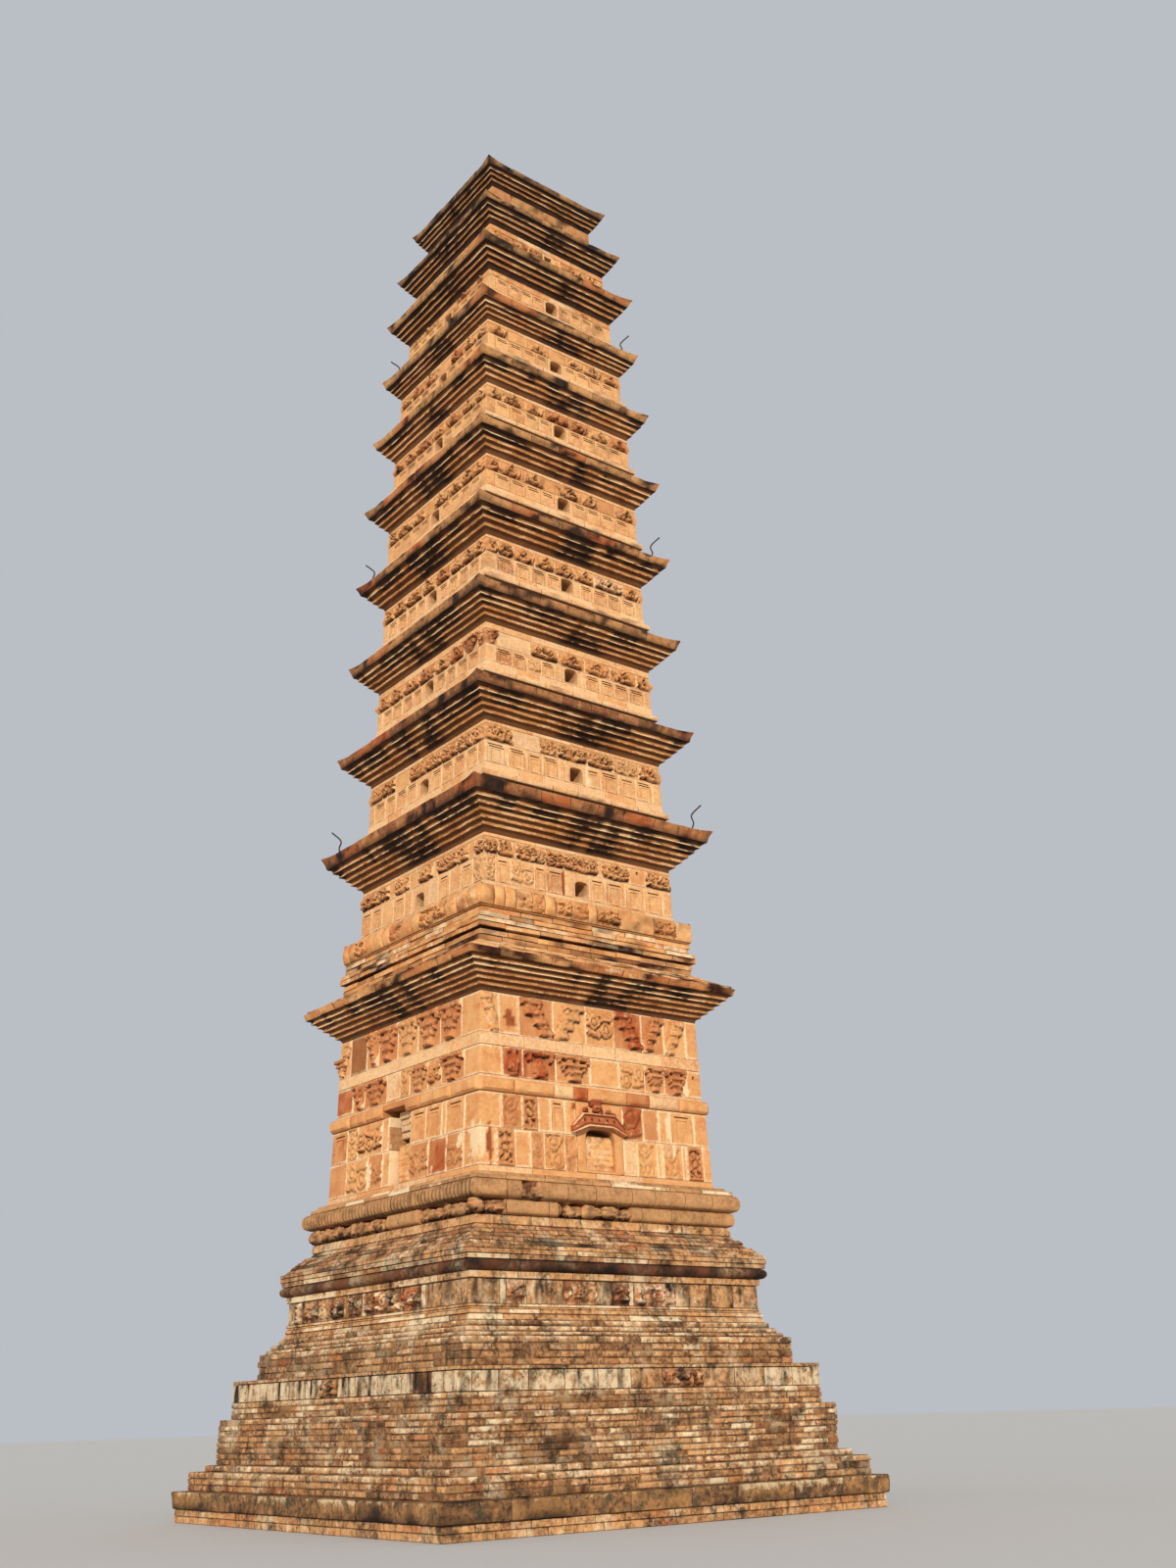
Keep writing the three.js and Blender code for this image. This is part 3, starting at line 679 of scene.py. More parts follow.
# bricks: boxes with a bevel round the front, all at once; rough wears each corner of the front by itself
def addBricks(batch, side, s0, s1, z0, z1, out, depth, finish, bevel=0.006, k=None, rough=0.0, topHighlight=0.0):
    s0, s1, z0, z1, out = (np.asarray(v, float) for v in (s0, s1, z0, z1, out))
    count = len(s0)
    worn = k.uniform(-1, 1, (4, count)) * rough if rough else np.zeros((4, count))
    inset = bevel * (k.uniform(0.6, 2.4, (4, count)) if rough else np.ones((4, count)))

    def corners(b, o):
        return np.stack([toWorld(side, s0 + b[0], o[0], z0 + b[0]), toWorld(side, s1 - b[1], o[1], z0 + b[1]),
                         toWorld(side, s1 - b[2], o[2], z1 - b[2]),
                         toWorld(side, s0 + b[3], o[3], z1 - b[3])], 1)

    points = np.concatenate([corners(inset, out + worn), corners(0 * inset, out - bevel + worn),
                             corners(0 * inset, out - depth + 0 * worn)], 1)
    one = [[0, 1, 2, 3], [11, 10, 9, 8]]
    for i, j in ((0, 1), (1, 2), (2, 3), (3, 0)):
        one += [[j, i, 4 + i, 4 + j], [4 + j, 4 + i, 8 + i, 8 + j]]
    quads = np.array(one)[None] + 12 * np.arange(count)[:, None, None]
    shade = np.broadcast_to(finish.reshape(-1, 1, 4), (count, 12, 4)).copy()
    # brick sides and backs painted darker, as shade between and beside the bricks
    shade[:, 4:, 2] = np.maximum(shade[:, 4:, 2], 0.45)
    # painted highlight along the top edge, with no darkening there
    if topHighlight:
        shade[:, [2, 3, 6, 7], 1] = np.maximum(shade[:, [2, 3, 6, 7], 1], topHighlight)
        shade[:, [2, 3, 6, 7, 10, 11], 2] = 0.05
    addSurface(batch, points, quads, [], shade)


brickwork = {"length": (0.13, 0.33), "joint": 0.006, "seed": 5, "palePart": 0.56, "redPart": 0.16,
             "core": 0.018, "bevel": 0.006, "worn": 0.005}


# Courses of bricks round a square, with bonded corners: every other course runs on past the other's ends. The
# top course is worn pale and carries a painted highlight along its top edge, some bricks have lost their face,
# and pale, red and dark ones lie in drifts.
def addBrickwork(batch, k, half, z0, z1, courses, depth, **changes):
    look = {**brickwork, **changes}
    heights = np.linspace(z0, z1, courses + 1)
    joint, shortest = look["joint"], look["length"][0]
    for c in range(courses):
        last = c == courses - 1
        for side in range(4):
            end = half if (side + c) % 2 == 0 else half - depth
            marks = np.cumsum(k.uniform(*look["length"], size=int(2 * end / shortest) + 2))
            edges = np.concatenate([[0], marks[marks < 2 * end - shortest], [2 * end]]) - end
            s0, s1 = edges[:-1] + joint / 2, edges[1:] - joint / 2
            middle = 0.5 * (s0 + s1) + 10 * side
            n = len(s0)
            drift = clouds(middle / 0.5, heights[c] / 0.22, look["seed"])
            shade = clouds(middle / 0.35, heights[c] / 0.15, look["seed"] + 3)
            tone = unit(0.5 + 1.1 * (shade - 0.5) + k.uniform(-0.36, 0.36, n) + k.uniform(-0.08, 0.08))
            pale = np.where(drift > look["palePart"], k.uniform(0.1, 0.75, n), k.uniform(0, 0.22, n))
            pale = np.maximum(pale, np.where(k.uniform(size=n) < 0.06, k.uniform(0.3, 0.7, n), 0))
            pale = np.maximum(pale, 0.40 * last)
            soot = np.clip(k.uniform(-0.40, 0.42, n) + 1.8 * (0.47 - drift), 0, 0.72)
            red = np.where(k.uniform(size=n) < look["redPart"], k.uniform(0.1, 0.6, n), 0)
            out = half + k.uniform(-0.010, 0.003, n) - np.where(k.uniform(size=n) < 0.07, 0.022, 0)
            thin = joint / 2 + k.uniform(0, 0.004, (2, n))
            addBricks(batch, side, s0, s1, heights[c] + thin[0], heights[c + 1] - thin[1], out, depth,
                      finishOf(tone, pale, soot, red), look["bevel"], k, look["worn"], 0.6 * last)
    inner = half - look["core"]
    addRing(batch, [(inner, z0), (inner, z1)], 0.4, finish=lambda *at: finishOf(0.3, 0.25, 0.32))


# node groups: effects that the materials share; a socket takes a link or a value
def toLinear(code):
    values = [int(code[i:i + 2], 16) / 255 for i in (0, 2, 4)]
    return (*[v / 12.92 if v <= 0.04045 else ((v + 0.055) / 1.055) ** 2.4 for v in values], 1)


def feed(tree, socket, value):
    if isinstance(value, bpy.types.NodeSocket):
        tree.links.new(value, socket)
    else:
        socket.default_value = value


def addNode(tree, kind, group=None, **inputs):
    node = tree.nodes.new("ShaderNode" + kind)
    if group:
        node.node_tree = bpy.data.node_groups[group]
    for key, value in inputs.items():
        feed(tree, node.inputs[key], value)
    return node.outputs


def doMath(tree, operation, *values, clamp=False):
    node = tree.nodes.new("ShaderNodeMath")
    node.operation, node.use_clamp = operation, clamp
    for i, value in enumerate(values):
        feed(tree, node.inputs[i], value)
    return node.outputs[0]


def spread(tree, value, middle, factor, clamp=False):  # the distance from a middle value, times a factor
    return doMath(tree, "MULTIPLY", doMath(tree, "SUBTRACT", value, middle), factor, clamp=clamp)


def mixColour(tree, factor, a, b):
    node = tree.nodes.new("ShaderNodeMix")
    node.data_type = "RGBA"
    for i, value in ((0, factor), (6, a), (7, b)):
        feed(tree, node.inputs[i], value)
    return node.outputs[2]


def newGroup(name, outputs, **inputs):
    group = bpy.data.node_groups.new(name, "ShaderNodeTree")
    for label, value in inputs.items():
        group.interface.new_socket(label, in_out="INPUT", socket_type="NodeSocketFloat").default_value = value
    for label in outputs:
        group.interface.new_socket(label, in_out="OUTPUT", socket_type="NodeSocketFloat")
    place = group.nodes.new("ShaderNodeTexCoord").outputs["Object"]
    return group, group.nodes.new("NodeGroupInput").outputs, group.nodes.new("NodeGroupOutput").inputs, place


# fine grain, pits and soft unevenness of old fired clay, as a height and as a change of tone
def makeGrainGroup():
    group, given, result, place = newGroup("clayGrain", ("Height", "Tone"), Scale=30.0, Pits=0.4)
    fine = addNode(group, "TexNoise", Vector=place, Scale=given["Scale"], Detail=5.0, Roughness=0.65)["Fac"]
    pits = addNode(group, "TexVoronoi", Vector=place, Scale=doMath(group, "MULTIPLY", given["Scale"], 1.7))
    hollow = doMath(group, "SUBTRACT", 0.28, pits["Distance"], clamp=True)
    deep = doMath(group, "MULTIPLY", hollow, given["Pits"])
    feed(group, result["Height"], doMath(group, "SUBTRACT", fine, deep))
    feed(group, result["Tone"], fine)


def makeStreakGroup():  # run-off streaks: noise drawn out upright, cut by a threshold that the Amount moves
    group, given, result, place = newGroup("rainStreaks", ["Mask"], Scale=6.0, Amount=0.5)
    drawn = addNode(group, "Mapping", Vector=place, Scale=(1, 1, 0.22))["Vector"]
    noise = addNode(group, "TexNoise", Vector=drawn, Scale=given["Scale"], Detail=4.0, Roughness=0.6)["Fac"]
    threshold = doMath(group, "SUBTRACT", 0.85, doMath(group, "MULTIPLY", given["Amount"], 0.5))
    feed(group, result["Mask"], spread(group, noise, threshold, 6.0, True))


def makeMouldGroup():  # mould and lichen: soft blots, broken up by finer ones
    group, given, result, place = newGroup("mouldBlots", ["Mask"], Scale=3.0, Amount=0.4)

    def blots(finer, detail, roughness, part):
        scale = doMath(group, "MULTIPLY", given["Scale"], finer)
        noise = addNode(group, "TexNoise", Vector=place, Scale=scale, Detail=detail,
                        Roughness=roughness)["Fac"]
        return doMath(group, "MULTIPLY", noise, part)

    both = doMath(group, "ADD", blots(1.0, 3.0, 0.6, 0.62), blots(7.0, 4.0, 0.7, 0.38))
    threshold = doMath(group, "SUBTRACT", 0.74, doMath(group, "MULTIPLY", given["Amount"], 0.42))
    feed(group, result["Mask"], spread(group, both, threshold, 9.0, True))


makeGrainGroup()
makeStreakGroup()
makeMouldGroup()
clayBase = {
    "specular": 0.25, "wide": 5.0, "uneven": 1.6, "fleckMix": 0.5, "redSpread": 0.8, "streakScale": 6.0,
    "streakDepth": 0.55, "mouldScale": 3.0, "mouldDepth": 0.6, "raggedDepth": 0.85, "limeDepth": 0.4,
    "patchDepth": 0.55, "lichenDepth": 0.7, "bump": 0.5, "bumpDistance": 0.006,
}


def addBump(tree, shader, height, strength, distance):
    bump = addNode(tree, "Bump", Height=height, Strength=strength, Distance=distance)
    feed(tree, shader.inputs["Normal"], bump["Normal"])


# A clay: two body colours by tone, then pale wear with painted highlights, red clay, and soot with painted
# shade as the finish attribute says, each broken up by noise, with streaks and mould over them.
def makeClay(name, values):
    c = {**clayBase, **values}
    material, tree, shader = newMaterial(name)
    shader.inputs["Specular IOR Level"].default_value = c["specular"]
    marks = tree.nodes.new("ShaderNodeAttribute")
    marks.attribute_name = "finish"
    parts = addNode(tree, "SeparateColor", Color=marks.outputs["Color"])
    pale, grain = parts["Green"], addNode(tree, "Group", "clayGrain", Scale=c["grain"], Pits=c["pits"])
    place = addNode(tree, "TexCoord")["Object"]
    wide = addNode(tree, "TexNoise", Vector=place, Scale=c["wide"], Detail=4.0, Roughness=0.62)["Fac"]

    def mask(group, scale, amount, depth):
        return doMath(tree, "MULTIPLY", addNode(tree, "Group", group, Scale=c[scale], Amount=amount)["Mask"],
                      c[depth])

    fleck = spread(tree, grain["Tone"], 0.40, 2.2, True)
    if "ragged" in c:
        amount = doMath(tree, "ADD", 0.14, doMath(tree, "MULTIPLY", pale, 0.85))
        worn = mask("mouldBlots", "ragged", amount, "raggedDepth")
    else:
        grainy = doMath(tree, "ADD", pale, spread(tree, grain["Tone"], 0.5, 1.2))
        worn = spread(tree, grainy, 0.12, 1.25, True)
        worn = doMath(tree, "MULTIPLY", worn, doMath(tree, "GREATER_THAN", pale, 0.01))
    layers = [(doMath(tree, "ADD", parts["Red"], spread(tree, wide, 0.5, c["uneven"]), clamp=True), "light"),
              (doMath(tree, "MULTIPLY", fleck, c["fleckMix"]), "fleck"),
              (doMath(tree, "ADD", marks.outputs["Alpha"], spread(tree, wide, 0.55, c["redSpread"]),
                      clamp=True), "red"),
              (mask("rainStreaks", "streakScale", c["streaks"], "streakDepth"), "streak"), (worn, "pale")]
    if "lime" in c:
        layers.append((mask("rainStreaks", "limeScale", c["lime"], "limeDepth"), "pale"))
        layers.append((mask("mouldBlots", "patchScale", c["patch"], "patchDepth"), "pale"))
    layers.append((mask("mouldBlots", "mouldScale", c["mould"], "mouldDepth"), "mouldColour"))
    if "lichen" in c:
        layers.append((mask("mouldBlots", "lichenScale", c["lichenAmount"], "lichenDepth"), "lichen"))
    # the third channel, soot and painted shade alike, darkens towards the clay's darkest colour, a little
    # unevenly
    dirt = doMath(tree, "ADD", 0.75, doMath(tree, "MULTIPLY", wide, 0.5))
    layers.append((doMath(tree, "MULTIPLY", parts["Blue"], dirt, clamp=True), "soot"))
    colour = toLinear(c["dark"])
    for factor, key in layers:
        colour = mixColour(tree, factor, colour, toLinear(c[key]))
    feed(tree, shader.inputs["Base Color"], colour)
    uneven = doMath(tree, "MULTIPLY", grain["Tone"], 0.18)
    feed(tree, shader.inputs["Roughness"], doMath(tree, "ADD", c["roughness"], uneven, clamp=True))
    addBump(tree, shader, grain["Height"], c["bump"], c["bumpDistance"])
    return material


# in each clay the darkest colour stands for soot and for painted shade
clays = {
    "terracotta": {
        "dark": "CC7E40", "light": "E8AE6E", "fleck": "F2CA98", "red": "A84C22", "pale": "F4D8AC",
        "soot": "38190A", "streak": "B26C38", "mouldColour": "A07444", "grain": 34.0, "pits": 0.5,
        "streaks": 0.26, "mould": 0.14, "roughness": 0.72, "wide": 8.0, "uneven": 2.4, "redSpread": 1.1},
    "corbelBrick": {
        "dark": "7A4420", "light": "C48448", "fleck": "CE965C", "red": "92421E", "pale": "F2CE9C",
        "soot": "180D08", "streak": "42240F", "mouldColour": "2C1D12", "grain": 40.0, "pits": 0.6,
        "streaks": 0.30, "mould": 0.26, "roughness": 0.74, "uneven": 2.2},
    "eaveTile": {
        "dark": "664428", "light": "CC945A", "fleck": "D2A26E", "red": "B05A2C", "pale": "D8B080",
        "soot": "18120D", "streak": "4A3826", "mouldColour": "342C1C", "grain": 36.0, "pits": 0.6,
        "streaks": 0.40, "mould": 0.46, "mouldScale": 5.0, "mouldDepth": 0.70, "roughness": 0.70,
        "uneven": 2.6, "wide": 11.0, "lichen": "B49A70", "lichenScale": 11.0, "lichenAmount": 0.40},
    "pedestalBrick": {
        "dark": "86542F", "light": "D09860", "fleck": "E0B684", "red": "BC6438", "pale": "F4DCB2",
        "soot": "20170F", "streak": "463422", "streakDepth": 0.8, "lime": 0.50, "limeScale": 13.0,
        "patch": 0.56, "patchScale": 2.7, "mouldColour": "2E2418", "fleckMix": 0.7, "grain": 30.0,
        "pits": 0.8, "streaks": 0.64, "streakScale": 10.0, "mould": 0.54, "mouldScale": 4.0,
        "mouldDepth": 0.80, "roughness": 0.76, "uneven": 3.6, "wide": 15.0, "bump": 0.9, "ragged": 13.0,
        "redSpread": 1.2},
    "darkSlab": {
        "dark": "46291B", "light": "A87848", "fleck": "C29A68", "red": "9A502C", "pale": "DEC296",
        "soot": "1A120D", "streak": "3C2A1E", "lime": 0.42, "limeScale": 8.0, "patch": 0.44,
        "patchScale": 6.0, "mouldColour": "2E261A", "grain": 26.0, "pits": 0.9, "streaks": 0.65,
        "streakScale": 11.0, "mould": 0.54, "mouldScale": 6.0, "mouldDepth": 0.85, "roughness": 0.78,
        "uneven": 3.6, "wide": 16.0, "bump": 0.9, "ragged": 14.0, "redSpread": 1.2},
    "redClay": {
        "dark": "A24C28", "light": "C8743E", "fleck": "D08A54", "red": "94402A", "pale": "F2CE98",
        "soot": "2A120A", "streak": "7A3A1E", "mouldColour": "6A4028", "grain": 36.0, "pits": 0.5,
        "streaks": 0.3, "mould": 0.25, "roughness": 0.72},
}
clays["wornTerracotta"] = dict(clays["terracotta"], ragged=9.0, mould=0.36, mouldColour="6A4A2C", uneven=3.0)
clays["lotusClay"] = dict(clays["pedestalBrick"], streaks=0.42, mould=0.42, mouldDepth=0.6, lime=0.2,
                          patch=0.22, wide=7.0, uneven=2.2, ragged=9.0, streakDepth=0.6, light="CC9660")
clay = {name: makeClay(name, values) for name, values in clays.items()}


def makeIron():
    material, tree, shader = newMaterial("rustyIron")
    grain = addNode(tree, "Group", "clayGrain", Scale=90.0, Pits=0.7)
    shader.inputs["Metallic"].default_value = 0.6
    shader.inputs["Roughness"].default_value = 0.7
    feed(tree, shader.inputs["Base Color"],
         mixColour(tree, grain["Tone"], toLinear("2A211C"), toLinear("5A4030")))
    addBump(tree, shader, grain["Height"], 0.4, 0.002)
    return material


iron = makeIron()
print("materials made")

# storeys 2 to 11: half widths and heights in metres, as the solids have them
storeyKeys = ("half", "topHalf", "foot", "soffit", "corbels", "eave", "eaveHalf", "tip", "tipHalf", "sill")
storeyRows = (
    (1.304, 1.294, 6.105, 6.740, 5, 7.073, 1.619, 7.208, 1.645, 6.212),
    (1.265, 1.251, 7.333, 8.088, 4, 8.370, 1.525, 8.485, 1.540, 7.595),
    (1.213, 1.201, 8.610, 9.343, 4, 9.612, 1.450, 9.732, 1.465, 8.870),
    (1.180, 1.170, 9.857, 10.525, 3, 10.780, 1.400, 10.890, 1.415, 10.095),
    (1.152, 1.147, 11.015, 11.667, 3, 11.910, 1.343, 12.015, 1.358, 11.245),
    (1.111, 1.106, 12.140, 12.735, 3, 12.978, 1.278, 13.083, 1.294, 12.330),
    (1.058, 1.056, 13.208, 13.745, 3, 13.942, 1.206, 14.062, 1.222, 13.345),
    (0.989, 0.985, 14.187, 14.620, 3, 14.873, 1.166, 14.981, 1.184, 14.330),
    (0.937, 0.930, 15.106, 15.420, 3, 15.662, 1.085, 15.734, 1.095, 15.232),
    (0.812, 0.812, 15.859, 16.200, 3, 16.420, 0.944, 16.508, 0.954, 0),
)
storeys = {2 + i: dict(zip(storeyKeys, row)) for i, row in enumerate(storeyRows)}
lip = {"gap": 0.064, "height": 0.072, "out": 0.052, "lowGap": 0.042}
niche = {"width": 0.184, "height": 0.184, "depth": 0.225, "rise": 0.065}
squareHole = {"width": 0.115, "height": 0.075, "depth": 0.155}
# dark gives the painted shade of the hollow's two inner rings; the floor setting paints light on the hollow's
# floor
openingLook = {"tone": 0.6, "pale": 0.3, "red": 0, "dark": (0.45, 0.35), "paintedFloorLight": 0.6}
coreDepth = 0.236

# Carved rows and rows of panels of the south and west faces, left to right.
carved = {
    2: ("vine 0.16,scroll 0.17 deep,plain 0.05,scroll 0.36 deep,vine 0.22 deep keyhole,band 0.44 deep,"
        "plain 0.05,scroll 0.36 deep keyhole,plain 0.22 keyhole,band 0.34 deep",
        "vine 0.30 deep,vine 0.30 deep,plain 0.12,scroll 0.30 deep,plain 0.20,scroll 0.28 deep,plain 0.08,"
        "band 0.38 deep,scroll 0.22 keyhole,plain 0.12,vine 0.16"),
    3: ("scroll 0.375,plain 0.365 pale,scroll 0.25 faint,band 0.42 deep,band 0.38 deep,scroll 0.38 faint,"
        "scroll 0.32 deep",
        "scroll 0.30,vine 0.30,plain 0.34,scroll 0.36,band 0.34,scroll 0.34,scroll 0.30 deep,scroll 0.24 deep"),
    4: ("bracket 0.16 rusty,plain 0.45 pale,band 0.40 deep,scroll 0.39 deep,scroll 0.38 deep,"
        "scroll 0.40 deep,scroll 0.22 deep",
        "scroll 0.30,scroll 0.34,band 0.34,scroll 0.34 rusty,scroll 0.34,scroll 0.30 rusty,"
        "bracket 0.28 rusty,bracket 0.16 rusty"),
    5: ("scroll 0.16,band 0.21,scroll 0.30,scroll 0.28,scroll 0.28 deep,scroll 0.30 deep,band 0.44 pale,"
        "scroll 0.30",
        "scroll 0.26,scroll 0.30 deep,band 0.36,scroll 0.30,scroll 0.32 rusty,scroll 0.30 deep,scroll 0.24,"
        "scroll 0.20"),
    6: ("scroll 0.17 rusty,scroll 0.37 deep,scroll 0.30,plain 0.16,scroll 0.40 deep,scroll 0.24,"
        "plain 0.26 rusty,scroll 0.35",
        "scroll 0.28,band 0.34,scroll 0.30,plain 0.20,scroll 0.34,scroll 0.30 deep,scroll 0.30,scroll 0.22"),
    7: ("scroll 0.20,scroll 0.34,scroll 0.34,band 0.34 rusty,scroll 0.32 rusty,scroll 0.34,scroll 0.30 rusty",
        "scroll 0.24 rusty,scroll 0.30,band 0.30 rusty,scroll 0.30,scroll 0.34 rusty,scroll 0.30,scroll 0.20"),
    8: ("scroll 0.30,plain 0.30,scroll 0.32 faint,plain 0.26,scroll 0.28 faint,scroll 0.30,scroll 0.30",
        "scroll 0.28,scroll 0.28 rusty,scroll 0.32 rusty,plain 0.24,scroll 0.28 rusty,scroll 0.28,scroll 0.20"),
    9: ("scroll 0.26 faint,plain 0.6,plain 0.36 pale,scroll 0.28 faint,plain 0.28",
        "scroll 0.28 faint,scroll 0.34,plain 0.36,scroll 0.28 rusty,scroll 0.34"),
    10: ("scroll 0.16,rough 0.23 rusty,vine 0.21 rusty,vine 0.25,open 0.18,rough 0.14,vine 0.21 rusty,"
         "scroll 0.18,vine 0.16,rough 0.16",
         "vine 0.20,scroll 0.22,rough 0.20,vine 0.24 rusty,open 0.18,plain 0.22,scroll 0.22,vine 0.22,"
         "plain 0.16"),
}
plainPanels = ("plain 0.12,slots 0.22,slots 0.22,slots 0.22,slots 0.20,open 0.28,slots 0.20,slots 0.22,"
               "slots 0.22,slots 0.22,plain 0.12")
panels = {
    2: ("vine 0.13 faint,panel 0.17,vine 0.28 faint,panel 0.14,panel 0.22 rusty,open 0.30,panel 0.20,"
        "panel 0.25,panel 0.25,panel 0.24,plain 0.12",
        "panel 0.22,panel 0.22,plain 0.24,panel 0.22,plain 0.16,open 0.30,plain 0.2 pale,panel 0.22,"
        "plain 0.2,panel 0.22,vine 0.20 faint"),
    3: ("slots 0.27 pale,slots 0.24,panel 0.19,slots 0.21,plain 0.06,open 0.28,panel 0.19,slots 0.24,"
        "panel 0.23,slots 0.23,plain 0.12", plainPanels),
    4: ("plain 0.13,slots 0.24 rusty,slots 0.20,vine 0.20 faint,slots 0.20,plain 0.10,open 0.28,plain 0.06,"
        "slots 0.22,slots 0.22,slots 0.22,slots 0.24,plain 0.10", plainPanels),
    5: ("plain 0.14,slots 0.26 rusty,slots 0.24,slots 0.22,slots 0.22,open 0.28,slots 0.20,slots 0.22,"
        "slots 0.22,slots 0.22,plain 0.12", plainPanels),
}
plainRows = {  # slabs at a wall's foot and head, under and over the square holes, and on storey 11
    "foot": "plain 0.45 pale,plain 0.32,plain 0.5 pale,plain 0.38 pale,plain 0.45,plain 0.4 pale",
    "head": "plain 0.5,plain 0.4 pale,plain 0.6,plain 0.4",
    "under": "plain 0.5,plain 0.4 pale,plain 0.5,plain 0.4",
    "over": "plain 0.4,plain 0.5 pale,plain 0.3,plain 0.5",
    "topLow": "plain 0.4,plain 0.3,vine 0.2 rusty,plain 0.5,plain 0.3,plain 0.4",
    "topHigh": "plain 0.3,plain 0.5,plain 0.35,plain 0.45",
}
cornerRoll = {3: 0.020, 4: 0.034, 5: 0.014, 6: 0.014, 7: 0.018, 8: 0.010, 9: 0.006}
# Steps between a tile's lines: storeys 2 to 5, 6 to 10, the two far sides, plain slabs, thin strips, rolls
seenStep, farStep, unseenStep, plainStep, stripStep, rollStep = 0.0134, 0.0205, 0.032, 0.03, 0.05, 0.02
storeyMarks = {2: ((0, -0.24, 6.33, 0.045, 0.16, "bare"), (0, 0.13, 6.30, 0.016, 0.12, "pink")),
               3: ((0, 0.15, 7.68, 0.05, 0.17, "plaster"),), 5: ((3, 0.3, 10.1, 0.1, 0.08, "pink"),)}


# The lip at a wall's foot, with painted shadow below it and chalky in front. It gives the height of its top.
def addLip(batch, number, half, foot, k):
    low = foot + (lip["gap"] if number < 8 else lip["lowGap"])
    high, out = low + lip["height"], half + lip["out"]

    def finish(side, s, z, row, tile):
        worn = clouds(s / 0.12 + 9 * side, z / 0.05, 31 + number)
        stained = clouds(s / 0.22 + 9 * side, z / 0.10, 131 + number)
        # painted shadow: the three lowest rows, in the gap and under the lip
        soot = np.where(row < 3, 0.62, np.clip(2.4 * (stained - 0.58 + 0.01 * number), 0, 0.7))
        return finishOf(0.6, 0.1 + 0.6 * worn, soot)

    profile = [(half + 0.008, foot), (half + 0.008, low), (out - 0.006, low + 0.004), (out, low + 0.012),
               (out + 0.003, 0.5 * (low + high)), (out - 0.004, high - 0.006), (out - 0.016, high),
               (half - 0.01, high + 0.012)]
    addRing(batch, profile, 0.045, joints=evenJoints(half, 0.42, k), finish=finish,
            shift=lambda side, s, z, row, tile: 0.007 * (clouds(s / 0.07 + 9 * side, z / 0.03, 5) - 0.6))
    return high + 0.012


def openingOf(number, sill):  # the arched niche, or the square hole of storey 10
    if number < 10:
        mouth = archOutline(niche["width"], sill, sill + niche["height"], niche["rise"])
        return dict(openingLook, mouth=mouth, depth=niche["depth"])
    w, top = squareHole["width"] / 2, sill + squareHole["height"]
    return dict(openingLook, mouth=[(-w, sill), (w, sill), (w, top), (-w, top)], depth=squareHole["depth"])


def buildStorey(number):
    a = storeys[number]
    k = np.random.default_rng(400 + number)
    batch = newBatch()
    foot, soffit, sill = a["foot"], a["soffit"], a["sill"]
    halfAt = face(a["half"], foot, a["topHalf"], soffit)
    addCore(batch, min(a["half"], a["topHalf"]) - coreDepth, foot, soffit)
    if 2 < number < 9:
        foot = addLip(batch, number, a["half"], foot, k)
    stain = 0.12 + 0.05 * (number - 2)
    mortar = {"mortar": 0.55, "stain": stain} if number < 6 else {"joint": 0.40, "stain": stain}
    dense = {"dense": 0.75, "creviceShade": 0.9} if number < 4 else {"dense": 0.3, "creviceShade": 0.35, "ground": 0.02}
    carving = {**mortar, "tone": 0.62, "blush": 0.26, "wear": 0.45, "deep": 1.5, "stain": 0.5 * stain,
               "bold": min(0.2 * number - 0.3, 0.95), "corner": cornerRoll.get(number, 0), **dense}
    opening = openingOf(number, sill)
    holeFoot, holeHead = sill - 0.03, sill + squareHole["height"] + 0.035
    panelFoot, nicheHead = sill - 0.016, sill + niche["height"] + 0.014
    headHeight = 0.085 if number == 4 else 0.045 if soffit - max(soffit - 0.20, nicheHead) > 0.16 else 0.012
    carvedTop = soffit - headHeight
    split = max(nicheHead, carvedTop - 0.20)
    for side in range(4):
        step = (seenStep if number < 6 else farStep) if isSeen(side) else unseenStep

        def row(z0, z1, words, step, **look):
            addTileRow(batch, side, z0, z1, halfAt, words, step, k, look)

        if number == 11:
            middle = 0.5 * (foot + soffit)
            row(foot, middle, plainRows["topLow"], plainStep, tone=0.45, pale=0.12, soot=0.20, stain=0.8)
            row(middle, soffit, plainRows["topHigh"], plainStep, tone=0.4, pale=0.08, soot=0.28, stain=0.9)
            continue
        words = rowWords(carved[number], side)
        if number == 10:
            row(foot, holeFoot, plainRows["under"], plainStep, tone=0.60, stain=stain)
            row(holeFoot, holeHead, words, step, tone=0.60, stain=stain, opening=opening)
            row(holeHead, soffit, plainRows["over"], plainStep, tone=0.60, stain=stain)
            continue
        if panelFoot - foot > 0.02:
            row(foot, panelFoot, plainRows["foot"], plainStep, tone=0.65, pale=0.18, out=0.006, joint=0.25)
        row(panelFoot, split, rowWords(panels.get(number, (plainPanels, plainPanels)), side), step, tone=0.74,
            pale=0.18, marks=storeyMarks.get(number, ()), simple=number > 5 or not isSeen(side),
            opening=opening, **mortar)
        row(split, carvedTop, words, step, **carving)
        row(carvedTop, soffit, plainRows["head"], 0.04, tone=0.6, pale=0.25, joint=0.25)
    makePiece(f"storey{number:02d}Relief", batch, clay["terracotta"],
              f"storey_{number:02d}_wall")


# corbels: upright faces painted lighter as if lit, arrises worn pale with a painted highlight, and hollow
# undersides that rise to the next course, painted with shade
corbel = {"face": 0.50, "arris": 0.009, "step": 0.045}


